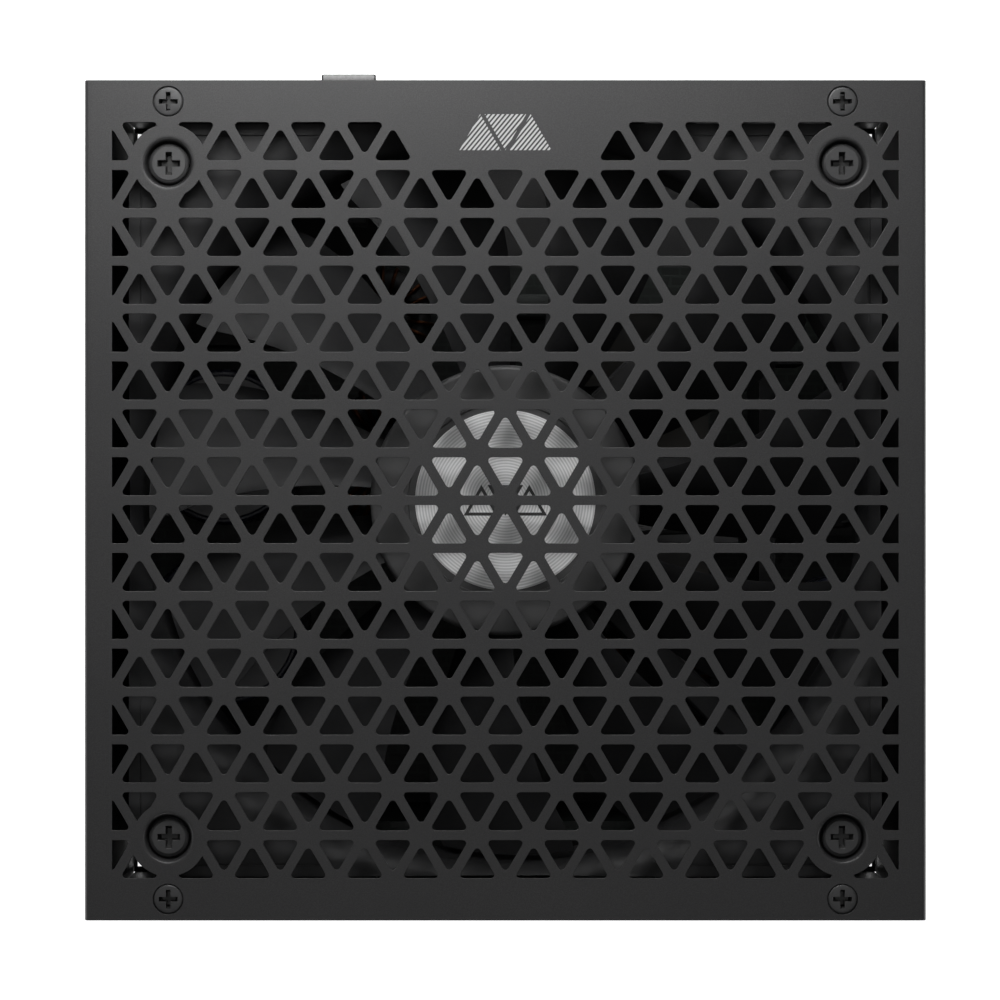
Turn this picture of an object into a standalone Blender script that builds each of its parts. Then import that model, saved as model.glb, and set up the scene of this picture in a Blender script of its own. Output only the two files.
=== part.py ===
"""Desktop computer power supply unit, fan face up.

All dimensions below are millimetres and are turned into metres by MM.
+X right, +Y towards the mains side (rear panel), +Z up through the fan face.
"""
import math

import bmesh
import bpy
from mathutils import Matrix, Vector

MM = 0.001

# ---------------------------------------------------------------- casing
CASE_X = 150.0          # over the side walls
CASE_Y = 150.0          # over the rear and front panels
CASE_Z = 86.0           # bottom face to fan face
SHEET = 0.8             # steel thickness
GAP = 0.3               # clearance between touching pieces
COVER_Y = 149.8         # cover length, a hair shorter than the panels
BEND = 0.6              # outside bend radius of the cover
TAB_W = 11.0            # screw tab width
TAB_IN = 68.5           # |y| of the tab's inner edge
SLOT_X = (72.5, 73.4)   # corner relief slots in the base floor
SLOT_Y = (66.0, 73.9)
SCREW_X = 60.1          # cover and fan screws share this |x|
COVER_SCREW_Y = 71.1
FAN_SCREW_Y = 60.15

# ---------------------------------------------------------------- grille
TRI_P = 10.03           # horizontal pitch of the triangle lattice
TRI_ROW = 8.53          # row pitch
TRI_BAR = 1.71          # bar width
WINDOW_X = 70.1         # half width of the perforated window
ROWS = 16
LOGO_HALF = 18.0        # unperforated patch in the first row
CLIP_R = 6.4            # solid ring round a dimple

# ---------------------------------------------------------------- dimples
DIMPLE_R = 4.35
DIMPLE_DEPTH = 3.0
DIMPLE_WALL = 0.75
DIMPLE_HOLE = 2.1

# ---------------------------------------------------------------- fan
FAN = 135.0
FAN_H = 25.0
FAN_TOP = CASE_Z - DIMPLE_DEPTH - SHEET - GAP
FAN_BOT = FAN_TOP - FAN_H
FAN_CORNER = 7.3
BORE_R = 65.4
MOUTH_R = 75.0
HUB_R = 24.3
HUB_TOP = FAN_TOP - 1.5
HUB_BOT = FAN_BOT + 5.6
TIP_R = 64.4
BLADES = 11
LABEL_R = 16.2

# ---------------------------------------------------------------- mains side
INLET_X, INLET_Z = -53.0, 30.0
SWITCH_X, SWITCH_Z = -29.8, 30.0
PADDLE_W = 10.4
PADDLE_HALF = 8.0
PADDLE_TILT = 12.0
PIVOT_Y = 74.6
BEZEL = 1.7
INLET_FLANGE = 1.8
ATX_HOLES = ((6, 80), (6, 16), (120, 80), (144, 6))

# ---------------------------------------------------------------- boards
BOARD_Z = 7.0
BOARD_T = 1.6
BOARD_X = 71.0
BOARD_Y0, BOARD_Y1 = -56.0, 46.0
POST_X = 67.0
POST_Y = (-52.0, 42.0)
PART_Z = BOARD_Z + BOARD_T + GAP
PIN_P = 4.2
CELL = 3.4


# ================================================================ scene set-up
for ob in list(bpy.data.objects):
    bpy.data.objects.remove(ob, do_unlink=True)
for block in (bpy.data.meshes, bpy.data.curves, bpy.data.materials):
    for item in list(block):
        block.remove(item)
for c in list(bpy.data.collections):
    bpy.data.collections.remove(c)

PART = bpy.data.collections.new("power_supply_unit")
TOOLS = bpy.data.collections.new("cutters")
bpy.context.scene.collection.children.link(PART)
bpy.context.scene.collection.children.link(TOOLS)


def material(name, rgb, rough, metal=0.0):
    m = bpy.data.materials.new(name)
    m.use_nodes = True
    b = m.node_tree.nodes["Principled BSDF"]
    b.inputs["Base Color"].default_value = (*rgb, 1.0)
    b.inputs["Roughness"].default_value = rough
    b.inputs["Metallic"].default_value = metal
    m.diffuse_color = (*rgb, 1.0)
    return m


M = {
    "coated_steel": material("coated_steel", (0.045, 0.045, 0.047), 0.55),
    "black_screw": material("black_screw", (0.05, 0.05, 0.052), 0.35, 0.6),
    "fan_plastic": material("fan_plastic", (0.028, 0.028, 0.03), 0.42),
    "label_foil": material("label_foil", (0.8, 0.8, 0.8), 0.35, 0.3),
    "bright_steel": material("bright_steel", (0.62, 0.62, 0.63), 0.3, 1.0),
    "bronze": material("bronze", (0.55, 0.35, 0.16), 0.4, 1.0),
    "copper": material("copper", (0.22, 0.085, 0.04), 0.4, 0.9),
    "magnet": material("magnet", (0.06, 0.055, 0.05), 0.7),
    "board": material("board", (0.012, 0.016, 0.014), 0.45),
    "socket_plastic": material("socket_plastic", (0.02, 0.02, 0.02), 0.45),
    "wire_sleeve": material("wire_sleeve", (0.03, 0.03, 0.03), 0.5),
    "pin_metal": material("pin_metal", (0.7, 0.68, 0.62), 0.28, 1.0),
    "aluminium": material("aluminium", (0.03, 0.03, 0.031), 0.4, 0.7),
    "cap_sleeve": material("cap_sleeve", (0.03, 0.035, 0.06), 0.35),
    "film_case": material("film_case", (0.05, 0.045, 0.035), 0.45),
    "ferrite": material("ferrite", (0.05, 0.05, 0.052), 0.6),
    "coil_tape": material("coil_tape", (0.045, 0.04, 0.03), 0.4),
    "glass": material("glass", (0.7, 0.72, 0.7), 0.15),
    "polyester": material("polyester", (0.05, 0.05, 0.05), 0.35),
}


# ================================================================ helpers
def place(name, data, coll, mat=None, smooth=False, origin=(0, 0, 0)):
    ob = bpy.data.objects.new(name, data)
    coll.objects.link(ob)
    ob.location = Vector(origin) * MM
    if mat:
        data.materials.append(M[mat])
    if smooth:
        for p in data.polygons:
            p.use_smooth = True
    return ob


def finish_mesh(name, bm, coll, mat=None, smooth=False, origin=(0, 0, 0)):
    bmesh.ops.recalc_face_normals(bm, faces=bm.faces)
    me = bpy.data.meshes.new(name)
    o = Vector(origin)
    for v in bm.verts:
        v.co = (v.co - o) * MM
    bm.to_mesh(me)
    bm.free()
    return place(name, me, coll, mat, smooth, origin)


def add_box(bm, lo, hi):
    lo, hi = Vector(lo), Vector(hi)
    size = hi - lo
    mat = Matrix.Translation((lo + hi) / 2) @ Matrix.Diagonal((*size, 1.0))
    return bmesh.ops.create_cube(bm, size=1.0, matrix=mat)["verts"]


AXIS_ROT = {
    "Z": Matrix.Identity(4),
    "X": Matrix.Rotation(math.radians(90), 4, "Y"),
    "Y": Matrix.Rotation(math.radians(-90), 4, "X"),
}


def add_cyl(bm, centre, r0, r1, depth, n, axis="Z", turn=0.0):
    """Cylinder or cone frustum starting at centre and running along axis."""
    rot = AXIS_ROT[axis] @ Matrix.Rotation(turn, 4, "Z")
    mat = (Matrix.Translation(Vector(centre)) @ rot
           @ Matrix.Translation((0, 0, depth / 2)))
    return bmesh.ops.create_cone(bm, cap_ends=True, segments=n, radius1=r0,
                                 radius2=r1, depth=depth, matrix=mat)["verts"]


def solid_box(name, lo, hi, mat, coll=PART):
    bm = bmesh.new()
    add_box(bm, lo, hi)
    return finish_mesh(name, bm, coll, mat)


def solid_cyl(name, centre, r, depth, n, mat, axis="Z", coll=PART):
    bm = bmesh.new()
    add_cyl(bm, centre, r, r, depth, n, axis)
    ob = finish_mesh(name, bm, coll, mat)
    shade_side(ob)
    return ob


def shade_side(ob, angle=35.0):
    """Smooth the round walls; sharp edges stay where faces meet steeply."""
    me = ob.data
    bm = bmesh.new()
    bm.from_mesh(me)
    for f in bm.faces:
        f.smooth = True
    for e in bm.edges:
        if len(e.link_faces) == 2 and e.calc_face_angle() > math.radians(angle):
            e.smooth = False
    bm.to_mesh(me)
    bm.free()


def tool(name, fill):
    """Helper solid for a Boolean, built by fill(bm)."""
    bm = bmesh.new()
    fill(bm)
    ob = finish_mesh("cut_" + name, bm, TOOLS)
    ob.hide_render = True
    ob.display_type = "WIRE"
    return ob


def boolean(ob, other, op="DIFFERENCE", solver="EXACT"):
    m = ob.modifiers.new(op.title() + "_" + other.name[:40], "BOOLEAN")
    m.operation = op
    m.solver = solver
    m.object = other
    return m


def revolve(name, profile, mat, n, coll=PART, origin=(0, 0, 0), smooth=True):
    """Screw modifier round Z on an (r, z) profile, listed top to bottom."""
    bm = bmesh.new()
    vs = [bm.verts.new((r * MM, 0, (z - origin[2]) * MM)) for r, z in profile]
    for a, b in zip(vs, vs[1:]):
        bm.edges.new((a, b))
    if profile[0][0] > 0 and profile[-1][0] > 0:
        bm.edges.new((vs[-1], vs[0]))
    me = bpy.data.meshes.new(name)
    bm.to_mesh(me)
    bm.free()
    ob = place(name, me, coll, mat, False, origin)
    s = ob.modifiers.new("Screw", "SCREW")
    s.axis = "Z"
    s.steps = s.render_steps = n
    s.use_merge_vertices = True
    s.merge_threshold = 0.00001
    s.use_smooth_shade = smooth
    if coll is TOOLS:
        ob.hide_render = True
        ob.display_type = "WIRE"
    return ob


def inset_triangle(bm, x, y, up, z0, z1, to_world):
    """One triangular prism of the lattice: an equal-sided cell less the bars."""
    h = TRI_ROW
    inr = h / 3.0 - TRI_BAR / 2.0          # inradius after the bar inset
    circ = 2.0 * inr
    squash = h / (TRI_P * math.sqrt(3) / 2.0)
    cy = y + (-1 if up else 1) * (h / 2.0 - h / 3.0)
    turn = 0.0 if up else math.pi
    mat = (to_world @ Matrix.Translation((x, cy, (z0 + z1) / 2))
           @ Matrix.Diagonal((1 / squash, 1.0, 1.0, 1.0))
           @ Matrix.Rotation(turn, 4, "Z"))
    return bmesh.ops.create_cone(bm, cap_ends=True, segments=3, radius1=circ,
                                 radius2=circ, depth=z1 - z0, matrix=mat)["verts"]


# ================================================================ fan cover
def u_sheet(name, lo, hi, drop, mat, bend=None):
    """A sheet folded into a U: a box less the faces whose normals are in drop."""
    bm = bmesh.new()
    add_box(bm, lo, hi)
    bmesh.ops.recalc_face_normals(bm, faces=bm.faces)
    gone = [f for f in bm.faces
            if any(f.normal.dot(Vector(d)) > 0.9 for d in drop)]
    bmesh.ops.delete(bm, geom=gone, context="FACES")
    if bend:
        folds = [e for e in bm.edges if len(e.link_faces) == 2]
        bmesh.ops.bevel(bm, geom=folds, offset=bend, segments=2, affect="EDGES",
                        profile=0.5)
    me = bpy.data.meshes.new(name)
    for v in bm.verts:
        v.co *= MM
    bm.to_mesh(me)
    bm.free()
    ob = place(name, me, PART, mat)
    s = ob.modifiers.new("Sheet", "SOLIDIFY")
    s.thickness = SHEET * MM
    s.offset = -1.0
    s.use_even_offset = True
    return ob


cover = u_sheet("fan_cover", (-CASE_X / 2, -COVER_Y / 2, 0),
                (CASE_X / 2, COVER_Y / 2, CASE_Z),
                ((0, 0, -1), (0, 1, 0), (0, -1, 0)), "coated_steel", BEND)

SIGNS = [(sx, sy) for sx in (-1, 1) for sy in (-1, 1)]


def fill_cups(bm):
    for sx, sy in SIGNS:
        add_cyl(bm, (sx * SCREW_X, sy * FAN_SCREW_Y,
                     CASE_Z - DIMPLE_DEPTH - SHEET),
                DIMPLE_R + DIMPLE_WALL - 0.5, DIMPLE_R + DIMPLE_WALL,
                DIMPLE_DEPTH + SHEET / 2, 16)


def fill_cup_hollows(bm):
    for sx, sy in SIGNS:
        add_cyl(bm, (sx * SCREW_X, sy * FAN_SCREW_Y, CASE_Z - DIMPLE_DEPTH),
                DIMPLE_R - 0.5, DIMPLE_R + 0.17, DIMPLE_DEPTH + 1.0, 16)


def fill_cup_holes(bm):
    for sx, sy in SIGNS:
        add_cyl(bm, (sx * SCREW_X, sy * FAN_SCREW_Y,
                     CASE_Z - DIMPLE_DEPTH - SHEET - 1.0),
                DIMPLE_HOLE, DIMPLE_HOLE, 3.0, 12)


def fill_cover_holes(bm):
    for sx, sy in SIGNS:
        add_cyl(bm, (sx * SCREW_X, sy * COVER_SCREW_Y, CASE_Z - 2.0),
                3.0, 3.0, 3.0, 16)


def fill_grille(bm):
    top = ROWS / 2.0 * TRI_ROW
    for row in range(ROWS):
        yc = top - (row + 0.5) * TRI_ROW
        for k in range(-14, 15):
            x = k * TRI_P / 2.0
            if row in (0,) and abs(x) < LOGO_HALF:
                continue
            if row in (0, 1, ROWS - 2, ROWS - 1) and abs(abs(x) - SCREW_X) < 0.5:
                continue
            even = (k % 2 == 0)
            up = even if row % 2 == 0 else not even
            verts = inset_triangle(bm, x, yc, up, CASE_Z - 3.0, CASE_Z + 1.0,
                                   Matrix.Identity(4))
            if abs(k) == 14:
                side = 1 if k > 0 else -1
                geom = set(verts)
                for v in verts:
                    geom.update(v.link_edges)
                    geom.update(v.link_faces)
                cut = bmesh.ops.bisect_plane(
                    bm, geom=list(geom), dist=1e-5,
                    plane_co=(side * WINDOW_X, 0, 0), plane_no=(side, 0, 0),
                    clear_outer=True)
                edges = [e for e in cut["geom_cut"]
                         if isinstance(e, bmesh.types.BMEdge)]
                bmesh.ops.holes_fill(bm, edges=edges, sides=8)


def fill_clip(bm):
    for sx, sy in SIGNS:
        add_cyl(bm, (sx * SCREW_X, sy * FAN_SCREW_Y, CASE_Z - 4.0),
                CLIP_R, CLIP_R, 6.0, 16)


grille = tool("grille", fill_grille)
boolean(grille, tool("grille_clip", fill_clip))
boolean(cover, tool("cups", fill_cups), "UNION")
boolean(cover, grille)
boolean(cover, tool("cup_hollows", fill_cup_hollows))
boolean(cover, tool("cup_holes", fill_cup_holes))
boolean(cover, tool("cover_holes", fill_cover_holes))


# ================================================================ base shell
BASE_X = CASE_X / 2 - SHEET - GAP
PANEL_TOP = CASE_Z - SHEET - GAP
base = u_sheet("base_shell", (-BASE_X, -CASE_Y / 2, 0),
               (BASE_X, CASE_Y / 2, PANEL_TOP),
               ((0, 0, 1), (1, 0, 0), (-1, 0, 0)), "coated_steel", BEND)


def fill_tabs(bm):
    for sx, sy in SIGNS:
        y0, y1 = sorted((sy * TAB_IN, sy * (CASE_Y / 2 - SHEET / 2)))
        add_box(bm, (sx * SCREW_X - TAB_W / 2, y0, PANEL_TOP - SHEET),
                (sx * SCREW_X + TAB_W / 2, y1, PANEL_TOP))


def fill_tab_holes(bm):
    for sx, sy in SIGNS:
        add_cyl(bm, (sx * SCREW_X, sy * COVER_SCREW_Y, PANEL_TOP - 2.0),
                1.55, 1.55, 3.0, 8)


def fill_posts(bm):
    for sx in (-1, 1):
        for y in POST_Y:
            add_cyl(bm, (sx * POST_X, y, SHEET / 2), 3.0, 3.0,
                    BOARD_Z - GAP - SHEET / 2, 8)


def fill_post_holes(bm):
    for sx in (-1, 1):
        for y in POST_Y:
            add_cyl(bm, (sx * POST_X, y, 1.6), 1.75, 1.75, 8.0, 8)


def fill_panel_cuts(bm):
    y = CASE_Y / 2
    # mains inlet and switch windows in the rear panel
    add_box(bm, (INLET_X - 13.7, y - 2, INLET_Z - 10.0),
            (INLET_X + 13.7, y + 1, INLET_Z + 10.0))
    add_box(bm, (SWITCH_X - 7.0, y - 2, SWITCH_Z - 10.3),
            (SWITCH_X + 7.0, y + 1, SWITCH_Z + 10.3))
    # output socket windows in the front panel
    for _, cx, cz, cols, rows in SOCKETS:
        w, h = socket_size(cols, rows)
        add_box(bm, (cx - w / 2 - GAP, -y - 1, cz - h / 2 - GAP),
                (cx + w / 2 + GAP, -y + 2, cz + h / 2 + GAP))


def fill_rear_holes(bm):
    for u, z in ATX_HOLES:
        add_cyl(bm, (-CASE_X / 2 + u, CASE_Y / 2 - 2, z), 1.6, 1.6, 3.0, 12, "Y")


VENT_ROWS = 7
VENT_Z0 = 11.5
VENT_K = range(-2, 13)


def fill_rear_vents(bm):
    """Same triangle lattice as the cover, stood up in the rear panel."""
    turn = Matrix.Rotation(math.radians(90), 4, "X")
    for row in range(VENT_ROWS):
        zc = VENT_Z0 + (row + 0.5) * TRI_ROW
        for k in VENT_K:
            up = (k + row) % 2 == 0
            inset_triangle(bm, k * TRI_P / 2, zc, up,
                           -CASE_Y / 2 - 1.0, -CASE_Y / 2 + 2.0, turn)


# ---------------------------------------------------------------- sockets
def socket_size(cols, rows):
    return cols * PIN_P + 1.8, rows * PIN_P + 1.8


SOCKETS = [
    ("socket_main_18", -44.0, 44.0, 9, 2),
    ("socket_main_10", -8.0, 44.0, 5, 2),
    ("socket_eight_1", 19.0, 44.0, 4, 2),
    ("socket_eight_2", 46.0, 44.0, 4, 2),
    ("socket_eight_3", -54.0, 26.0, 4, 2),
    ("socket_eight_4", -28.0, 26.0, 4, 2),
    ("socket_six_1", -1.0, 26.0, 3, 2),
    ("socket_six_2", 23.0, 26.0, 3, 2),
    ("socket_six_3", 47.0, 26.0, 3, 2),
]
SOCKET_FRONT = -CASE_Y / 2 + 0.1
SOCKET_BACK = -61.9



def fill_corner_slots(bm):
    for sx, sy in SIGNS:
        x0, x1 = sorted(sx * v for v in SLOT_X)
        y0, y1 = sorted(sy * v for v in SLOT_Y)
        add_box(bm, (x0, y0, -1.0), (x1, y1, SHEET + 1.0))


boolean(base, tool("corner_slots", fill_corner_slots))
boolean(base, tool("tabs", fill_tabs), "UNION")
boolean(base, tool("posts", fill_posts), "UNION")
boolean(base, tool("tab_holes", fill_tab_holes))
boolean(base, tool("post_holes", fill_post_holes))
boolean(base, tool("panel_cuts", fill_panel_cuts))
boolean(base, tool("rear_holes", fill_rear_holes))
boolean(base, tool("rear_vents", fill_rear_vents))

for name, cx, cz, cols, rows in SOCKETS:
    w, h = socket_size(cols, rows)
    body = solid_box(name, (cx - w / 2, SOCKET_FRONT, cz - h / 2),
                     (cx + w / 2, SOCKET_BACK, cz + h / 2), "socket_plastic")

    def fill_cells(bm, cx=cx, cz=cz, cols=cols, rows=rows):
        for i in range(cols):
            for j in range(rows):
                x = cx + (i - (cols - 1) / 2) * PIN_P
                z = cz + (j - (rows - 1) / 2) * PIN_P
                add_box(bm, (x - CELL / 2, SOCKET_FRONT - 1, z - CELL / 2),
                        (x + CELL / 2, SOCKET_FRONT + 9.0, z + CELL / 2))
    boolean(body, tool(name + "_cells", fill_cells))


# ================================================================ screws
def cross_recess(ob, x, y, top, span, arm, depth, tag):
    for i, (sx, sy) in enumerate(((span, arm), (arm, span))):
        boolean(ob, tool("%s_arm%d" % (tag, i + 1), lambda bm: add_box(
            bm, (x - sx / 2, y - sy / 2, top - depth),
            (x + sx / 2, y + sy / 2, top + 1.0))))


def screw(name, x, y, profile, top, span, arm, depth, n=12):
    ob = revolve(name, profile, "black_screw", n, origin=(x, y, 0))
    cross_recess(ob, x, y, top, span, arm, depth, name)
    return ob


COVER_HEAD_TOP = CASE_Z - 0.1
FAN_HEAD_TOP = CASE_Z - 1.3
order = [(-1, 1), (1, 1), (-1, -1), (1, -1)]
for i, (sx, sy) in enumerate(order, 1):
    screw("cover_screw_%d" % i, sx * SCREW_X, sy * COVER_SCREW_Y,
          [(0, COVER_HEAD_TOP), (2.7, COVER_HEAD_TOP),
           (2.0, CASE_Z - SHEET), (1.25, CASE_Z - SHEET), (1.25, 79.0), (0, 79.0)],
          COVER_HEAD_TOP, 3.4, 0.77, 0.45)
    floor = CASE_Z - DIMPLE_DEPTH + GAP
    screw("fan_screw_%d" % i, sx * SCREW_X, sy * FAN_SCREW_Y,
          [(0, FAN_HEAD_TOP), (3.1, FAN_HEAD_TOP), (3.52, FAN_HEAD_TOP - 0.45),
           (3.52, floor), (1.8, floor), (1.8, 75.0), (0, 75.0)],
          FAN_HEAD_TOP, 3.9, 1.1, 0.8)

# ================================================================ fan frame
frame_bm = bmesh.new()
add_box(frame_bm, (-FAN / 2, -FAN / 2, FAN_BOT), (FAN / 2, FAN / 2, FAN_TOP))
uprights = [e for e in frame_bm.edges
            if abs(e.verts[0].co.z - e.verts[1].co.z) > 1.0]
bmesh.ops.bevel(frame_bm, geom=uprights, offset=FAN_CORNER, segments=5,
                affect="EDGES", profile=0.5)
fan_frame = finish_mesh("fan_frame", frame_bm, PART, "fan_plastic")


def fill_corner_blocks(bm):
    add_box(bm, (-FAN / 2 - 2, -FAN / 2 - 2, FAN_BOT + 3.6),
            (FAN / 2 + 2, FAN / 2 + 2, FAN_TOP - 4.2))


corners = tool("fan_corners", fill_corner_blocks)
boolean(corners, tool("fan_barrel", lambda bm: add_cyl(
    bm, (0, 0, FAN_BOT), 68.2, 68.2, FAN_H, 48)))
boolean(fan_frame, corners)
bore = revolve("cut_fan_bore",
               [(0, FAN_TOP + 1), (MOUTH_R + 0.6, FAN_TOP + 1),
                (MOUTH_R, FAN_TOP), (70.0, FAN_TOP - 1.8),
                (66.8, FAN_TOP - 4.2), (BORE_R, FAN_TOP - 6.6),
                (BORE_R, FAN_BOT - 1), (0, FAN_BOT - 1)],
               None, 48, coll=TOOLS)
boolean(fan_frame, bore)


def fill_motor_mount(bm):
    add_cyl(bm, (0, 0, FAN_BOT), 24.0, 24.0, 3.0, 32)


def fill_struts(bm):
    for k in range(4):
        a = math.radians(45 + 90 * k)
        vs = add_box(bm, (22.0, -2.6, FAN_BOT), (66.6, 2.6, FAN_BOT + 2.6))
        bmesh.ops.rotate(bm, verts=vs, cent=(0, 0, 0),
                         matrix=Matrix.Rotation(a, 3, "Z"))


boolean(fan_frame, tool("struts", fill_struts), "UNION")
boolean(fan_frame, tool("motor_mount", fill_motor_mount), "UNION")
boolean(fan_frame, tool("bearing_tube", lambda bm: add_cyl(
    bm, (0, 0, FAN_BOT + 2.0), 5.5, 5.5, 13.0, 16)), "UNION")
boolean(fan_frame, tool("bearing_bore", lambda bm: add_cyl(
    bm, (0, 0, FAN_BOT + 3.0), 3.7, 3.7, 14.0, 16)))


def fill_frame_holes(bm):
    for sx, sy in SIGNS:
        add_cyl(bm, (sx * SCREW_X, sy * FAN_SCREW_Y, FAN_BOT - 1),
                DIMPLE_HOLE, DIMPLE_HOLE, FAN_H + 2, 12)
    add_cyl(bm, (15.0, -6.0, FAN_BOT - 1), 1.7, 1.7, 6.0, 12)


boolean(fan_frame, tool("frame_holes", fill_frame_holes))

# ================================================================ impeller
hub = revolve("fan_impeller",
              [(0, HUB_TOP - 0.6), (17.5, HUB_TOP - 0.6), (17.5, HUB_TOP),
               (23.5, HUB_TOP), (HUB_R, HUB_TOP - 0.8),
               (HUB_R, HUB_BOT), (22.8, HUB_BOT), (22.8, HUB_TOP - 1.8),
               (3.4, HUB_TOP - 1.8), (3.4, HUB_TOP - 8.0), (1.8, HUB_TOP - 8.0),
               (1.8, HUB_TOP - 2.4), (0, HUB_TOP - 2.4)],
              "fan_plastic", 36)


def blade_point(r, s):
    """Point on a blade's mid surface; s runs from -0.5 to 0.5 over the chord."""
    t = (r - HUB_R) / (TIP_R - HUB_R)
    centre = 0.5 + 8.2 * max(t, 0.0) ** 2
    width = 21.0 + 2.4 * min(1.0, 1.6 * max(t, 0.0))
    a = math.radians(centre + s * width)
    rise = 14.2 - 2.2 * t
    z = FAN_TOP - 10.9 + s * rise + 1.3 * (1 - 4 * s * s)
    return Vector((r * math.cos(a), r * math.sin(a), z))


def fill_blades(bm):
    nr, ns = 4, 4
    for k in range(BLADES):
        turn = Matrix.Rotation(2 * math.pi * k / BLADES, 3, "Z")
        vs = bmesh.ops.create_grid(bm, x_segments=nr, y_segments=ns,
                                   size=0.5)["verts"]
        for v in vs:
            r = 23.5 + (TIP_R - 23.5) * (v.co.x + 0.5)
            v.co = turn @ blade_point(r, v.co.y)


blade_bm = bmesh.new()
fill_blades(blade_bm)
blades = finish_mesh("cut_blades", blade_bm, TOOLS)
blades.hide_render = True
blades.display_type = "WIRE"
thick = blades.modifiers.new("Thickness", "SOLIDIFY")
thick.thickness = 1.5 * MM
thick.offset = 0.0
thick.use_even_offset = True
boolean(hub, blades, "UNION")

solid_cyl("hub_label", (0, 0, HUB_TOP - 0.3), LABEL_R, 0.2, 32, "label_foil")
solid_cyl("fan_shaft", (0, 0, FAN_BOT + 3.4), 1.5,
          HUB_TOP - 2.7 - FAN_BOT - 3.4, 16, "bright_steel")
revolve("fan_bearing", [(3.3, FAN_BOT + 14.6), (3.3, FAN_BOT + 3.4),
                        (1.8, FAN_BOT + 3.4), (1.8, FAN_BOT + 14.6)],
        "bronze", 16)
revolve("rotor_magnet", [(22.5, HUB_TOP - 3.6), (22.5, HUB_BOT + 1.0),
                         (20.0, HUB_BOT + 1.0), (20.0, HUB_TOP - 3.6)],
        "magnet", 24)
stator = revolve("fan_stator", [(19.4, FAN_BOT + 16.5), (19.4, FAN_BOT + 6.6),
                                (5.9, FAN_BOT + 6.6), (5.9, FAN_BOT + 16.5)],
                 "copper", 24)


def fill_slots(bm):
    for k in range(4):
        vs = add_box(bm, (10.0, -1.5, FAN_BOT + 5), (24.0, 1.5, FAN_BOT + 18))
        bmesh.ops.rotate(bm, verts=vs, cent=(0, 0, 0),
                         matrix=Matrix.Rotation(math.radians(90 * k), 3, "Z"))


boolean(stator, tool("stator_slots", fill_slots))
revolve("fan_circuit_board", [(20.0, FAN_BOT + 4.4), (20.0, FAN_BOT + 3.3),
                              (5.9, FAN_BOT + 3.3), (5.9, FAN_BOT + 4.4)],
        "board", 24)


# ================================================================ fan lead
def rounded_path(pts, radius, steps):
    """Poly-line with each inner corner replaced by an arc."""
    pts = [Vector(p) for p in pts]
    out = [pts[0]]
    for a, b, c in zip(pts, pts[1:], pts[2:]):
        u, v = (a - b).normalized(), (c - b).normalized()
        half = u.angle(v) / 2.0
        reach = radius / math.tan(half)
        p, q = b + u * reach, b + v * reach
        centre = b + (u + v).normalized() * (radius / math.sin(half))
        for i in range(steps + 1):
            w = ((p - centre).normalized()
                 .slerp((q - centre).normalized(), i / steps))
            out.append(centre + w * radius)
    out.append(pts[-1])
    return out


PLUG_X, PLUG_Y = 64.0, -4.0
lead_pts = rounded_path([(15.0, -6.0, FAN_BOT + 3.0), (15.0, -6.0, FAN_BOT - 2.6),
                         (PLUG_X, PLUG_Y, FAN_BOT - 2.6), (PLUG_X, PLUG_Y, 18.3)],
                        3.0 - 0.6, 4)
curve = bpy.data.curves.new("fan_lead", "CURVE")
curve.dimensions = "3D"
curve.bevel_depth = 1.1 * MM
curve.bevel_resolution = 2
curve.use_fill_caps = True
curve.resolution_u = 1
sp = curve.splines.new("POLY")
sp.points.add(len(lead_pts) - 1)
for p, co in zip(sp.points, lead_pts):
    p.co = (*(co * MM), 1.0)
lead = place("fan_lead", curve, PART)
curve.materials.append(M["wire_sleeve"])
solid_box("fan_plug", (PLUG_X - 3.8, PLUG_Y - 2.9, PART_Z),
          (PLUG_X + 3.8, PLUG_Y + 2.9, 18.0), "polyester")

# ================================================================ mains inlet
REAR = CASE_Y / 2
inlet = solid_box("ac_inlet", (INLET_X - 15.3, REAR + GAP, INLET_Z - 11.7),
                  (INLET_X + 15.3, REAR + GAP + INLET_FLANGE, INLET_Z + 11.7),
                  "socket_plastic")
boolean(inlet, tool("inlet_body", lambda bm: add_box(
    bm, (INLET_X - 13.4, REAR - 20.0, INLET_Z - 9.7),
    (INLET_X + 13.4, REAR + 1.0, INLET_Z + 9.7))), "UNION")
INLET_FRONT = REAR + GAP + INLET_FLANGE
INLET_FLOOR = INLET_FRONT - 16.6


def fill_inlet_cavity(bm):
    add_box(bm, (INLET_X - 12.1, INLET_FLOOR, INLET_Z - 8.1),
            (INLET_X + 12.1, INLET_FRONT + 1, INLET_Z + 8.1))
    upper = [e for e in bm.edges
             if all(v.co.z > INLET_Z + 8.0 for v in e.verts)
             and abs(e.verts[0].co.x - e.verts[1].co.x) < 0.1]
    bmesh.ops.bevel(bm, geom=upper, offset=4.6, segments=1, affect="EDGES")


PINS = (("inlet_pin_line", -7.0, -2.0), ("inlet_pin_neutral", 7.0, -2.0),
        ("inlet_pin_earth", 0.0, 2.6))


def fill_pin_holes(bm):
    for _, dx, dz in PINS:
        add_box(bm, (INLET_X + dx - 1.3, REAR - 22, INLET_Z + dz - 2.3),
                (INLET_X + dx + 1.3, INLET_FLOOR + 1, INLET_Z + dz + 2.3))


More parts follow.
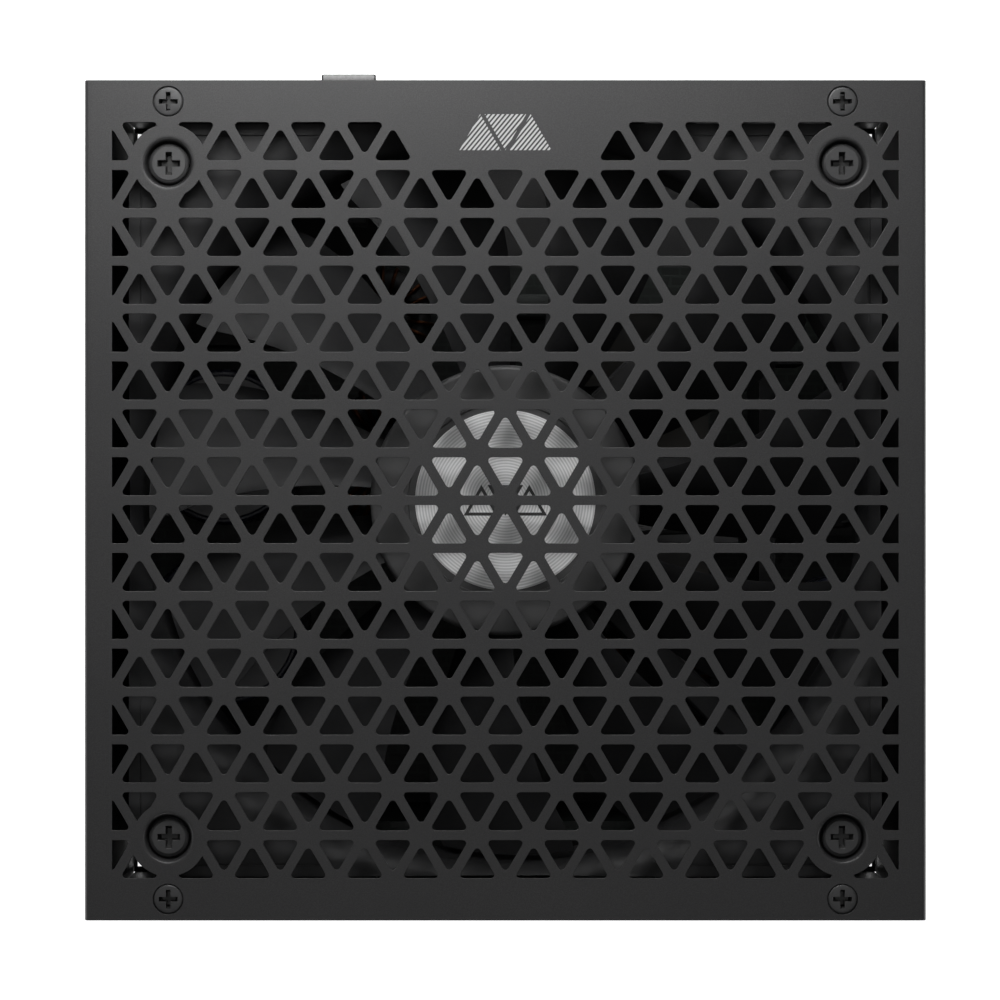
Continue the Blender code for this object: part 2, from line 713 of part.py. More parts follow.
boolean(inlet, tool("inlet_cavity", fill_inlet_cavity))
boolean(inlet, tool("inlet_pin_holes", fill_pin_holes))
for name, dx, dz in PINS:
    bm = bmesh.new()
    tip = INLET_FRONT - (3.4 if "earth" in name else 4.6)
    vs = add_box(bm, (INLET_X + dx - 1.0, REAR - 28.0, INLET_Z + dz - 2.0),
                 (INLET_X + dx + 1.0, tip, INLET_Z + dz + 2.0))
    ends = [e for e in bm.edges if all(v.co.y > tip - 0.1 for v in e.verts)]
    bmesh.ops.bevel(bm, geom=ends, offset=0.5, segments=1, affect="EDGES")
    finish_mesh(name, bm, PART, "pin_metal")

# ================================================================ rocker switch
housing = solid_box("switch_housing",
                    (SWITCH_X - 7.5, REAR + GAP, SWITCH_Z - 11.2),
                    (SWITCH_X + 7.5, REAR + GAP + BEZEL, SWITCH_Z + 11.2),
                    "socket_plastic")
boolean(housing, tool("switch_body", lambda bm: add_box(
    bm, (SWITCH_X - 6.7, REAR - 15.0, SWITCH_Z - 10.0),
    (SWITCH_X + 6.7, REAR + 1.0, SWITCH_Z + 10.0))), "UNION")
boolean(housing, tool("switch_cavity", lambda bm: add_box(
    bm, (SWITCH_X - 5.5, REAR - 6.2, SWITCH_Z - 9.3),
    (SWITCH_X + 5.5, REAR + 4.0, SWITCH_Z + 9.3))))


def fill_switch_blades(bm):
    for dz in (-6.0, 6.0):
        add_box(bm, (SWITCH_X - 3.1, REAR - 22.0, SWITCH_Z + dz - 0.4),
                (SWITCH_X + 3.1, REAR - 14.5, SWITCH_Z + dz + 0.4))


boolean(housing, tool("switch_blades", fill_switch_blades), "UNION")


def rocker_outline():
    """Side view of the paddle, level: y outwards, z along its length."""
    rise = PADDLE_HALF * math.tan(math.radians(PADDLE_TILT))
    half = [(3.4, 0.0), (3.4 + rise, PADDLE_HALF), (1.0, PADDLE_HALF), (-3.0, 4.5)]
    mirrored = [(y, -z) for y, z in reversed(half) if z > 0]
    return half + mirrored


rocker_bm = bmesh.new()
tilt = Matrix.Rotation(-math.radians(PADDLE_TILT), 3, "X")
loop = [rocker_bm.verts.new(tilt @ Vector((-PADDLE_W / 2, y, z)))
        for y, z in rocker_outline()]
face = bmesh.ops.contextual_create(rocker_bm, geom=loop)["faces"]
grown = bmesh.ops.extrude_face_region(rocker_bm, geom=face)
bmesh.ops.translate(rocker_bm, vec=(PADDLE_W, 0, 0),
                    verts=[g for g in grown["geom"]
                           if isinstance(g, bmesh.types.BMVert)])
for v in rocker_bm.verts:
    v.co += Vector((SWITCH_X, PIVOT_Y, SWITCH_Z))
finish_mesh("switch_rocker", rocker_bm, PART, "socket_plastic",
            origin=(SWITCH_X, PIVOT_Y, SWITCH_Z))


# ================================================================ boards
def fill_board_holes(r):
    def fill(bm):
        for sx in (-1, 1):
            for y in POST_Y:
                add_cyl(bm, (sx * POST_X, y, 0.9), r, r, 12.0, 8)
    return fill


board = solid_box("main_board", (-BOARD_X, BOARD_Y0, BOARD_Z),
                  (BOARD_X, BOARD_Y1, BOARD_Z + BOARD_T), "board")
boolean(board, tool("board_holes", fill_board_holes(1.9)))
sheet = solid_box("insulation_sheet", (-BOARD_X, BOARD_Y0, SHEET + GAP),
                  (BOARD_X, BOARD_Y1, SHEET + GAP + 0.4), "polyester")
boolean(sheet, tool("sheet_holes", fill_board_holes(3.4)))
solid_box("output_board", (-66.0, SOCKET_BACK + GAP, 6.0),
          (66.0, SOCKET_BACK + GAP + BOARD_T, 52.0), "board")
i = 0
for sx in (-1, 1):
    for y in POST_Y:
        i += 1
        revolve("board_screw_%d" % i,
                [(0, 10.7), (2.4, 10.7), (2.9, 10.1), (2.9, PART_Z),
                 (1.4, PART_Z), (1.4, 2.6), (0, 2.6)],
                "bright_steel", 8, origin=(sx * POST_X, y, 0))


# ================================================================ components
def can(name, x, y, r, top, n=20):
    """Electrolytic can with a rolled top edge."""
    return revolve(name, [(0, top), (r - 0.7, top), (r, top - 0.7),
                          (r, PART_Z), (0, PART_Z)],
                   "cap_sleeve", n, origin=(x, y, 0))


def ring_coil(name, x, y, major, minor, mat, n=20, m=6):
    flat = minor * math.cos(math.pi / m)        # the coil stands on a flat side
    turn = math.pi / m - math.pi / 2
    pts = [(major + minor * math.cos(turn + 2 * math.pi * i / m),
            PART_Z + flat - minor * math.sin(turn + 2 * math.pi * i / m))
           for i in range(m)]
    return revolve(name, pts, mat, n, origin=(x, y, 0))


def legs(ob, name, xs, ys, z_top, s=0.5):
    """Square lead-out legs reaching down to the board."""
    def fill(bm):
        for x in xs:
            for y in ys:
                add_box(bm, (x - s, y - s, PART_Z), (x + s, y + s, z_top))
    boolean(ob, tool(name + "_legs", fill), "UNION")


can("bulk_capacitor_1", -53.0, 10.0, 14.7, 47.0)
can("bulk_capacitor_2", -53.0, -24.0, 14.7, 47.0)
ring_coil("pfc_choke", -22.5, 8.0, 10.0, 5.0, "copper")
ring_coil("common_mode_choke", -24.0, 36.0, 7.0, 3.4, "copper", 16)
solid_box("mains_filter_capacitor", (-68.0, 30.0, PART_Z), (-42.0, 38.0, 27.0),
          "film_case")
fuse = solid_cyl("mains_fuse", (-8.0, 38.0, 13.0), 2.6, 20.0, 16, "glass", "X")


def heatsink(name, x0, x1, fin_x, y_half, top):
    ob = solid_box(name, (x0, -y_half, PART_Z), (x1, y_half, top), "aluminium")

    def fill(bm):
        for k in range(7):
            y = (k - 3) * (2 * y_half - 3.0) / 6.0
            a, b = sorted((fin_x, (x0 + x1) / 2))
            add_box(bm, (a, y - 0.75, PART_Z + 12.0), (b, y + 0.75, top - 1.0))
    boolean(ob, tool(name + "_fins", fill), "UNION")
    return ob


heatsink("primary_heatsink", -1.0, 2.0, -6.0, 28.0, 46.0)
heatsink("secondary_heatsink", 48.0, 51.0, 56.5, 28.0, 44.0)
bridge = solid_box("bridge_rectifier", (2.3, -26.0, 16.0), (6.3, -2.0, 36.0),
                   "ferrite")
legs(bridge, "bridge", (4.3,), (-23.0, -17.0, -11.0, -5.0), 17.0)

core = solid_box("transformer_core", (10.0, -8.0, 10.0), (44.0, 8.0, 44.0),
                 "ferrite")


def fill_windows(bm):
    add_box(bm, (15.0, -10, 15.0), (21.0, 10, 39.0))
    add_box(bm, (33.0, -10, 15.0), (39.0, 10, 39.0))


boolean(core, tool("core_windows", fill_windows))
winding = solid_box("transformer_winding", (15.3, -16.0, 15.3),
                    (38.7, 16.0, 38.7), "coil_tape")
boolean(winding, tool("winding_bore", lambda bm: add_box(
    bm, (20.7, -8.3, 10.0), (33.3, 8.3, 44.0))))
legs(winding, "winding", (18.0, 27.0, 36.0), (-13.0, 13.0), 16.0, 0.6)
standby = solid_box("standby_transformer", (14.0, 22.0, PART_Z + 3.0),
                    (32.0, 38.0, 26.0), "coil_tape")
legs(standby, "standby", (17.0, 29.0), (24.0, 36.0), PART_Z + 4.0)
ring_coil("output_inductor", 28.0, -36.0, 9.0, 4.6, "copper")
for i, y in enumerate((-44.0, -32.0, -20.0), 1):
    can("output_capacitor_%d" % i, 62.5, y, 5.0, 33.0, 12)
control = solid_box("control_board", (63.0, 8.0, PART_Z), (64.6, 36.0, 34.0),
                    "board")
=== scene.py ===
import math
import bmesh
import bpy
from mathutils import Matrix, Vector


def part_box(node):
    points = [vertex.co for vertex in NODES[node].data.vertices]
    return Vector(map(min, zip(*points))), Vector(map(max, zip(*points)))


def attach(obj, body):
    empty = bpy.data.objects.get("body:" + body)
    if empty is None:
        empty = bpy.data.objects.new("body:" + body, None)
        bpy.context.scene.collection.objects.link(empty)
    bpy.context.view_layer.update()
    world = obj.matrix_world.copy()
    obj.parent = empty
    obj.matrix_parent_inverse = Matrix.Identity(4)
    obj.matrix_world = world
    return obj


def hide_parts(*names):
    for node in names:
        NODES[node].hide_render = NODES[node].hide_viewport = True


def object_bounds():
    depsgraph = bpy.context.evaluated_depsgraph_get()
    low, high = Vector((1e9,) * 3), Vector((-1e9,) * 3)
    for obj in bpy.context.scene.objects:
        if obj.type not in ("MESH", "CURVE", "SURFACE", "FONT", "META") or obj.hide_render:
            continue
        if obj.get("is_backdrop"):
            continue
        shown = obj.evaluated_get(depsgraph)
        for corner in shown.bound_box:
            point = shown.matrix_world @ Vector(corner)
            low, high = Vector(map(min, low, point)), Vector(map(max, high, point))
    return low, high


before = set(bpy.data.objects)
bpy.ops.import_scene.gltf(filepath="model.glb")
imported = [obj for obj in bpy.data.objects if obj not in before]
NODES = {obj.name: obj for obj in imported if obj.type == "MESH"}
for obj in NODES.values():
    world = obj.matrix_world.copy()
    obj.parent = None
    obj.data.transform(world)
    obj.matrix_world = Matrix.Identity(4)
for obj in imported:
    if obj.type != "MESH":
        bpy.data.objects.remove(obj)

CAD_LO, CAD_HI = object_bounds()

# Power supply unit: the finished looks. Lengths below are millimetres, turned
# into metres where a mesh is made.
MM = 0.001


def mm_box(node):
    lo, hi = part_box(node)
    return lo / MM, hi / MM


CLO, CHI = mm_box("fan_cover")
BLO, BHI = mm_box("base_shell")
FLO, FHI = mm_box("fan_frame")
ILO, IHI = mm_box("fan_impeller")
CASE_HX = CHI.x
COVER_HY = CHI.y
TOP = CHI.z
PANEL_Y = BHI.y
SHEET = 0.8
GAP = 0.3
SCREW_X, COVER_SCREW_Y, FAN_SCREW_Y = 60.1, 71.1, 60.15
SIGNS = [(sx, sy) for sx in (-1, 1) for sy in (-1, 1)]
TRI_P, TRI_ROW, TRI_BAR, TRI_R = 10.03, 8.53, 1.71, 0.62
WINDOW_X = 70.1
SKIN = 0.006            # laps lie this far above the sheet they overlap


# ===================================================================== materials
def new_mat(name):
    m = bpy.data.materials.new(name)
    m.use_nodes = True
    nt = m.node_tree
    bsdf = nt.nodes["Principled BSDF"]
    coord = nt.nodes.new("ShaderNodeTexCoord")
    return m, nt, bsdf, coord.outputs["Object"]


def noise(nt, vec, scale, detail=3.0, rough=0.55):
    n = nt.nodes.new("ShaderNodeTexNoise")
    n.inputs["Scale"].default_value = scale
    n.inputs["Detail"].default_value = detail
    n.inputs["Roughness"].default_value = rough
    nt.links.new(vec, n.inputs["Vector"])
    return n.outputs["Fac"]


def ramp(nt, fac, stops):
    r = nt.nodes.new("ShaderNodeValToRGB")
    els = r.color_ramp.elements
    while len(els) < len(stops):
        els.new(0.5)
    for e, (p, c) in zip(els, stops):
        e.position = p
        e.color = (*c, 1.0) if len(c) == 3 else c
    nt.links.new(fac, r.inputs["Fac"])
    return r.outputs["Color"]


def spread(nt, fac, lo, hi, a=0.3, b=0.7):
    r = nt.nodes.new("ShaderNodeMapRange")
    r.inputs["From Min"].default_value = a
    r.inputs["From Max"].default_value = b
    r.inputs["To Min"].default_value = lo
    r.inputs["To Max"].default_value = hi
    nt.links.new(fac, r.inputs["Value"])
    return r.outputs["Result"]


def bump(nt, bsdf, layers):
    prev = None
    for height, strength, dist in layers:
        b = nt.nodes.new("ShaderNodeBump")
        b.inputs["Strength"].default_value = strength
        b.inputs["Distance"].default_value = dist
        nt.links.new(height, b.inputs["Height"])
        if prev is not None:
            nt.links.new(prev, b.inputs["Normal"])
        prev = b.outputs["Normal"]
    nt.links.new(prev, bsdf.inputs["Normal"])


def plain(name, dark, light, rough, metal=0.0, grain=900.0, grit=0.25,
          depth=0.00004, spec=0.5):
    """A base with mottled colour, mottled roughness and a fine grain."""
    m, nt, b, vec = new_mat(name)
    big = noise(nt, vec, grain / 12.0, 4.0)
    fine = noise(nt, vec, grain, 3.0, 0.6)
    nt.links.new(ramp(nt, big, [(0.35, dark), (0.65, light)]),
                 b.inputs["Base Color"])
    nt.links.new(spread(nt, fine, rough - 0.07, rough + 0.07), b.inputs["Roughness"])
    b.inputs["Metallic"].default_value = metal
    b.inputs["Specular IOR Level"].default_value = spec
    bump(nt, b, [(fine, grit, depth), (big, grit * 0.4, depth * 2)])
    return m


def powder_coat():
    """Fine-texture powder coat: orange-peel swell under a sandy grain."""
    m, nt, b, vec = new_mat("powder_coat")
    swell = noise(nt, vec, 420.0, 2.0, 0.5)
    sand = noise(nt, vec, 2600.0, 2.0, 0.6)
    cloud = noise(nt, vec, 18.0, 4.0, 0.5)
    speck = noise(nt, vec, 5200.0, 1.0, 0.5)
    tone = ramp(nt, cloud, [(0.3, (0.0205, 0.0205, 0.0215)),
                            (0.7, (0.0265, 0.0262, 0.0268))])
    grit = ramp(nt, speck, [(0.35, (0.72, 0.72, 0.72)), (0.68, (1.35, 1.34, 1.33))])
    mix = nt.nodes.new("ShaderNodeMix")
    mix.data_type = "RGBA"
    mix.blend_type = "MULTIPLY"
    mix.inputs["Factor"].default_value = 1.0
    nt.links.new(tone, mix.inputs["A"])
    nt.links.new(grit, mix.inputs["B"])
    nt.links.new(mix.outputs["Result"], b.inputs["Base Color"])
    nt.links.new(spread(nt, sand, 0.40, 0.52), b.inputs["Roughness"])
    b.inputs["Specular IOR Level"].default_value = 0.5
    bump(nt, b, [(swell, 0.10, 0.00004), (sand, 0.16, 0.00002)])
    return m


def foil():
    """Pale satin label with fine turned rings about its own axis."""
    m, nt, b, vec = new_mat("label_foil_rings")
    sep = nt.nodes.new("ShaderNodeSeparateXYZ")
    nt.links.new(vec, sep.inputs["Vector"])
    flat = nt.nodes.new("ShaderNodeCombineXYZ")
    nt.links.new(sep.outputs["X"], flat.inputs["X"])
    nt.links.new(sep.outputs["Y"], flat.inputs["Y"])
    ln = nt.nodes.new("ShaderNodeVectorMath")
    ln.operation = "LENGTH"
    nt.links.new(flat.outputs["Vector"], ln.inputs[0])
    turns = nt.nodes.new("ShaderNodeMath")
    turns.operation = "MULTIPLY"
    turns.inputs[1].default_value = 2 * math.pi / 0.00052
    nt.links.new(ln.outputs["Value"], turns.inputs[0])
    wave = nt.nodes.new("ShaderNodeMath")
    wave.operation = "SINE"
    nt.links.new(turns.outputs[0], wave.inputs[0])
    unit = spread(nt, wave.outputs[0], 0.0, 1.0, -1.0, 1.0)
    grain = noise(nt, vec, 2500.0, 2.0)
    nt.links.new(ramp(nt, unit, [(0.25, (0.66, 0.66, 0.665)), (0.75, (0.93, 0.93, 0.93))]),
                 b.inputs["Base Color"])
    nt.links.new(spread(nt, grain, 0.42, 0.58), b.inputs["Roughness"])
    b.inputs["Metallic"].default_value = 0.0
    bump(nt, b, [(unit, 0.2, 0.00003), (grain, 0.1, 0.00002)])
    return m


def fr4():
    """Solder-masked board: weave, traces and a dusting of pads, darkened to near black as painted shade of the closed
    case.
    """
    m, nt, b, vec = new_mat("solder_mask_painted_shade")
    br = nt.nodes.new("ShaderNodeTexBrick")
    br.inputs["Scale"].default_value = 130.0
    br.inputs["Mortar Size"].default_value = 0.035
    br.inputs["Color1"].default_value = (0.006, 0.009, 0.0075, 1)
    br.inputs["Color2"].default_value = (0.008, 0.012, 0.010, 1)
    br.inputs["Mortar"].default_value = (0.014, 0.02, 0.017, 1)
    nt.links.new(vec, br.inputs["Vector"])
    nt.links.new(br.outputs["Color"], b.inputs["Base Color"])
    weave = noise(nt, vec, 1800.0, 2.0)
    nt.links.new(spread(nt, weave, 0.3, 0.48), b.inputs["Roughness"])
    bump(nt, b, [(br.outputs["Fac"], 0.3, 0.00005), (weave, 0.15, 0.00003)])
    return m


def brushed(name, col, rough, stretch=(1, 30, 1), scale=700.0, metal=1.0):
    m, nt, b, vec = new_mat(name)
    mp = nt.nodes.new("ShaderNodeMapping")
    mp.inputs["Scale"].default_value = stretch
    nt.links.new(vec, mp.inputs["Vector"])
    streak = noise(nt, mp.outputs["Vector"], scale, 3.0)
    patch = noise(nt, vec, 60.0, 3.0)
    dark = tuple(c * 0.82 for c in col)
    nt.links.new(ramp(nt, patch, [(0.3, dark), (0.7, col)]), b.inputs["Base Color"])
    nt.links.new(spread(nt, streak, rough - 0.08, rough + 0.1), b.inputs["Roughness"])
    b.inputs["Metallic"].default_value = metal
    bump(nt, b, [(streak, 0.2, 0.00003)])
    return m


MAT = {
    "coat": powder_coat(),
    "edge": plain("coat_edge", (0.012, 0.012, 0.013), (0.02, 0.02, 0.021), 0.5),
    "screw": plain("black_oxide", (0.034, 0.034, 0.035), (0.046, 0.046, 0.047), 0.42,
                   0.1, 1500.0, 0.2, 0.00002),
    "fan": plain("fan_plastic_moulded", (0.017, 0.017, 0.018), (0.023, 0.023, 0.024),
                 0.52, 0.0, 1400.0, 0.18, 0.00003, 0.35),
    # the hub is coloured lighter than the blades: painted light for the light its flat top catches
    "hub": plain("hub_plastic_painted_light", (0.056, 0.056, 0.057), (0.068, 0.068, 0.069), 0.5,
                 0.0, 1400.0, 0.12, 0.00002),
    "blade": plain("blade_plastic", (0.016, 0.016, 0.017), (0.022, 0.022, 0.023),
                   0.56, 0.0, 1100.0, 0.12, 0.00003, 0.3),
    "foil": foil(),
    # darker ink: the label print, and painted shade in the screw cross recesses
    "ink_and_recess_shade": plain("print_ink_and_recess_shade", (0.02, 0.02, 0.02), (0.035, 0.035, 0.035), 0.4),
    "white_ink": plain("white_ink", (0.34, 0.34, 0.34), (0.42, 0.42, 0.42), 0.5),
    "moulded": plain("moulded_black", (0.012, 0.012, 0.0125), (0.019, 0.019, 0.0195),
                     0.38, 0.0, 1300.0, 0.25, 0.00004),
    "gloss": plain("gloss_black", (0.010, 0.010, 0.011), (0.015, 0.015, 0.016),
                   0.22, 0.0, 1200.0, 0.08, 0.00002),
    "tin": brushed("tin_plate", (0.72, 0.70, 0.66), 0.27),
    "steel": brushed("cut_steel", (0.62, 0.62, 0.63), 0.30),
    # near-black heatsink aluminium: painted shade inside the closed case
    "alu": brushed("dark_aluminium_painted_shade", (0.022, 0.022, 0.023), 0.42, (1, 1, 40), 700.0, 0.6),
    "bronze": plain("sintered_bronze", (0.35, 0.2, 0.09), (0.5, 0.31, 0.14), 0.45,
                    0.9, 2200.0, 0.4, 0.00005),
    "copper": brushed("enamelled_wire", (0.16, 0.06, 0.028), 0.34, (20, 1, 1)),
    "magnet": plain("magnet_ferrite", (0.03, 0.028, 0.026), (0.06, 0.055, 0.05),
                    0.7, 0.0, 1700.0, 0.5, 0.00006),
    "board": fr4(),
    "sleeve": plain("wire_sleeve_soft", (0.018, 0.018, 0.018), (0.03, 0.03, 0.03), 0.5),
    "can": plain("cap_sleeve_film", (0.014, 0.016, 0.035), (0.022, 0.024, 0.05), 0.26,
                 0.0, 500.0, 0.15, 0.00005),
    "can_top": brushed("can_lid", (0.16, 0.16, 0.163), 0.4),
    # dark film capacitor case: painted shade inside the closed case
    "film": plain("film_case_painted_shade", (0.02, 0.018, 0.014), (0.035, 0.031, 0.024), 0.42),
    "ferrite": plain("ferrite_grey", (0.02, 0.02, 0.021), (0.045, 0.045, 0.047), 0.6,
                     0.0, 1600.0, 0.5, 0.00006),
    # dark coil and transformer tape: painted shade inside the closed case
    "tape": plain("coil_tape_painted_shade", (0.018, 0.016, 0.012), (0.032, 0.028, 0.02), 0.35,
                  0.0, 300.0, 0.3, 0.00008),
    "glass": plain("fuse_glass", (0.05, 0.053, 0.052), (0.075, 0.08, 0.078), 0.12),
    "polyester": plain("polyester_film", (0.02, 0.02, 0.02), (0.035, 0.035, 0.034), 0.38),
}


# ===================================================================== mesh tools
def sharpen(bm, angle=38.0):
    for f in bm.faces:
        f.smooth = True
    for e in bm.edges:
        e.smooth = not (len(e.link_faces) != 2
                        or e.calc_face_angle(0.0) > math.radians(angle))


def emit(name, bm, mat, body="casing", angle=38.0, smooth=True, scale=MM,
         recalc=True):
    """bm, in millimetres, becomes a piece riding on a CAD body."""
    if recalc:
        bmesh.ops.recalc_face_normals(bm, faces=bm.faces)
    if smooth:
        sharpen(bm, angle)
    for v in bm.verts:
        v.co *= scale
    me = bpy.data.meshes.new(name)
    bm.to_mesh(me)
    bm.free()
    ob = bpy.data.objects.new(name, me)
    bpy.context.scene.collection.objects.link(ob)
    me.materials.append(MAT[mat])
    if smooth:
        even(ob)
    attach(ob, body)
    return ob


def even(ob):
    """Large flat faces keep their own normals beside small rounded ones."""
    w = ob.modifiers.new("Flats", "WEIGHTED_NORMAL")
    w.mode = "FACE_AREA"
    w.weight = 100
    w.keep_sharp = True
    return ob


def rounded(ob, width, segments=2, angle=35.0):
    b = ob.modifiers.new("Edges", "BEVEL")
    b.width = width * MM
    b.segments = segments
    b.limit_method = "ANGLE"
    b.angle_limit = math.radians(angle)
    b.harden_normals = False
    if "Flats" in ob.modifiers:
        ob.modifiers.remove(ob.modifiers["Flats"])
    return even(ob)


def add_box(bm, lo, hi):
    lo, hi = Vector(lo), Vector(hi)
    mat = Matrix.Translation((lo + hi) / 2) @ Matrix.Diagonal((*(hi - lo), 1.0))
    return bmesh.ops.create_cube(bm, size=1.0, matrix=mat)["verts"]


def spin(bm, profile, n, centre=(0, 0), closed=False):
    """Revolves an (r, z) profile round a vertical axis at centre."""
    cx, cy = centre
    rings = []
    for r, z in profile:
        if r < 1e-6:
            rings.append([bm.verts.new((cx, cy, z))])
        else:
            rings.append([bm.verts.new((cx + r * math.cos(2 * math.pi * k / n),
                                        cy + r * math.sin(2 * math.pi * k / n), z))
                          for k in range(n)])
    pairs = list(zip(rings, rings[1:]))
    if closed:
        pairs.append((rings[-1], rings[0]))
    for a, b in pairs:
        for k in range(n):
            k2 = (k + 1) % n
            if len(a) == 1 and len(b) == 1:
                continue
            if len(a) == 1:
                bm.faces.new((a[0], b[k], b[k2]))
            elif len(b) == 1:
                bm.faces.new((a[k], b[0], a[k2]))
            else:
                bm.faces.new((a[k], b[k], b[k2], a[k2]))
    return rings


def arc(cx, cy, r, a0, a1, n):
    return [(cx + r * math.cos(math.radians(a0 + (a1 - a0) * i / n)),
             cy + r * math.sin(math.radians(a0 + (a1 - a0) * i / n)))
            for i in range(n + 1)]


def circle(cx, cy, r, n=48):
    return arc(cx, cy, r, 0, 360, n)[:-1]


def rect(x0, y0, x1, y1, r=0.0, n=5):
    if r <= 0:
        return [(x0, y0), (x1, y0), (x1, y1), (x0, y1)]
    return (arc(x1 - r, y0 + r, r, -90, 0, n) + arc(x1 - r, y1 - r, r, 0, 90, n)
            + arc(x0 + r, y1 - r, r, 90, 180, n) + arc(x0 + r, y0 + r, r, 180, 270, n))


def soft_polygon(pts, radius, n=4):
    """Rounds every corner of a convex counter-clockwise polygon."""
    out = []
    m = len(pts)
    for i in range(m):
        a, b, c = (Vector(pts[i - 1]), Vector(pts[i]), Vector(pts[(i + 1) % m]))
        u, v = (a - b).normalized(), (c - b).normalized()
        half = u.angle(v) / 2
        reach = radius / math.tan(half)
        mid = b + (u + v).normalized() * (radius / math.sin(half))
        p, q = b + u * reach, b + v * reach
        a0 = math.atan2(p.y - mid.y, p.x - mid.x)
        a1 = math.atan2(q.y - mid.y, q.x - mid.x)
        while a1 < a0:
            a1 += 2 * math.pi
        if a1 - a0 > math.pi:
            a1 -= 2 * math.pi
        for k in range(n + 1):
            t = a0 + (a1 - a0) * k / n
            out.append((mid.x + radius * math.cos(t), mid.y + radius * math.sin(t)))
    return out


def lattice_hole(x, y, up, r=TRI_R):
    """Rounded triangular opening centred in its lattice cell."""
    inr = TRI_ROW / 3 - TRI_BAR / 2
    squash = TRI_ROW / (TRI_P * math.sqrt(3) / 2)
    cy = y + (-1 if up else 1) * (TRI_ROW / 2 - TRI_ROW / 3)
    a0 = 90 if up else -90
    pts = [(2 * inr * math.cos(math.radians(a0 + 120 * k)),
            2 * inr * math.sin(math.radians(a0 + 120 * k))) for k in range(3)]
    pts = soft_polygon(pts, r)
    return [(x + px / squash, cy + py) for px, py in pts]


def clip_half(pts, limit, side):
    """Keeps the part of a polygon on the inner side of x = side * limit."""
    out = []
    for i, q in enumerate(pts):
        p = pts[i - 1]
        dp, dq = limit - side * p[0], limit - side * q[0]
        if (dp < 0) != (dq < 0):
            t = dp / (dp - dq)
            out.append((p[0] + (q[0] - p[0]) * t, p[1] + (q[1] - p[1]) * t))
        if dq >= 0:
            out.append(q)
    return out


def clip_disc(pts, cx, cy, radius):
    """Takes a bite with a disc out of a convex polygon; returns [] if little is left."""
    inside = [math.hypot(x - cx, y - cy) < radius for x, y in pts]
    if not any(inside):
        return pts
    if all(inside):
        return []
    n = len(pts)
    start = next(i for i in range(n) if inside[i - 1] and not inside[i])
    order = [(start + k) % n for k in range(n)]
    keep = [i for i in order if not inside[i]]
    if any(inside[i] for i in order[:len(keep)]):
        return pts

    def meet(a, b):
        """Where the edge a-b crosses the disc's rim."""
        lo, hi = 0.0, 1.0
        for _ in range(30):
            t = (lo + hi) / 2
            x, y = a[0] + (b[0] - a[0]) * t, a[1] + (b[1] - a[1]) * t
            if math.hypot(x - cx, y - cy) < radius:
                lo = t
            else:
                hi = t
        return (x, y)

    enter = meet(pts[(keep[-1] + 1) % n], pts[keep[-1]])
    leave = meet(pts[(keep[0] - 1) % n], pts[keep[0]])
    a0 = math.atan2(enter[1] - cy, enter[0] - cx)
    a1 = math.atan2(leave[1] - cy, leave[0] - cx)
    d = (a1 - a0 + math.pi) % (2 * math.pi) - math.pi
    rim = [(cx + radius * math.cos(a0 + d * k / 6), cy + radius * math.sin(a0 + d * k / 6))
           for k in range(7)]
    return [pts[i] for i in keep] + rim


def plate_bm(outline, holes, z0, z1, edge=0.12, seg=1):
    """A flat sheet with openings and eased edges, from a filled flat curve."""
    cu = bpy.data.curves.new("plate_tmp", "CURVE")
    cu.dimensions = "2D"
    cu.fill_mode = "BOTH"
    cu.resolution_u = 1
    for loop in [outline] + holes:
        sp = cu.splines.new("POLY")
        sp.points.add(len(loop) - 1)
        for p, (x, y) in zip(sp.points, loop):
            p.co = (x, y, 0, 1)
        sp.use_cyclic_u = True
    cu.extrude = (z1 - z0) / 2 - edge
    cu.bevel_depth = edge
    cu.bevel_resolution = seg
    cu.offset = -edge
    ob = bpy.data.objects.new("plate_tmp", cu)
    bpy.context.scene.collection.objects.link(ob)
    dg = bpy.context.evaluated_depsgraph_get()
    me = bpy.data.meshes.new_from_object(ob.evaluated_get(dg))
    bm = bmesh.new()
    bm.from_mesh(me)
    bpy.data.objects.remove(ob)
    bpy.data.meshes.remove(me)
    bpy.data.curves.remove(cu)
    bmesh.ops.remove_doubles(bm, verts=bm.verts, dist=1e-4)
    for v in bm.verts:
        v.co.z += (z0 + z1) / 2
    return bm


def stand(bm, face_y, outward):
    """Turns a flat sheet's (x, y, z) into a panel's (x, depth, z)."""
    for v in bm.verts:
        x, y, z = v.co
        v.co = (x, face_y + outward * z, y)
    return bm


def merge(bm, other):
    me = bpy.data.meshes.new("merge_tmp")
    other.to_mesh(me)
    other.free()
    bm.from_mesh(me)
    bpy.data.meshes.remove(me)
    return bm


def extrude_profile(bm, pts, a, b, axis):
    """Closed outline pushed from a to b along X or Y. pts are (u, z)."""
    def at(u, z, t):
        return (t, u, z) if axis == "X" else (u, t, z)
    lo = [bm.verts.new(at(u, z, a)) for u, z in pts]
    hi = [bm.verts.new(at(u, z, b)) for u, z in pts]
    n = len(pts)
    for i in range(n):
        j = (i + 1) % n
        bm.faces.new((lo[i], lo[j], hi[j], hi[i]))
    bm.faces.new(lo[::-1])
    bm.faces.new(hi)


def as_temp(bm):
    bmesh.ops.recalc_face_normals(bm, faces=bm.faces)
    me = bpy.data.meshes.new("tool_tmp")
    bm.to_mesh(me)
    bm.free()
    ob = bpy.data.objects.new("tool_tmp", me)
    bpy.context.scene.collection.objects.link(ob)
    return ob


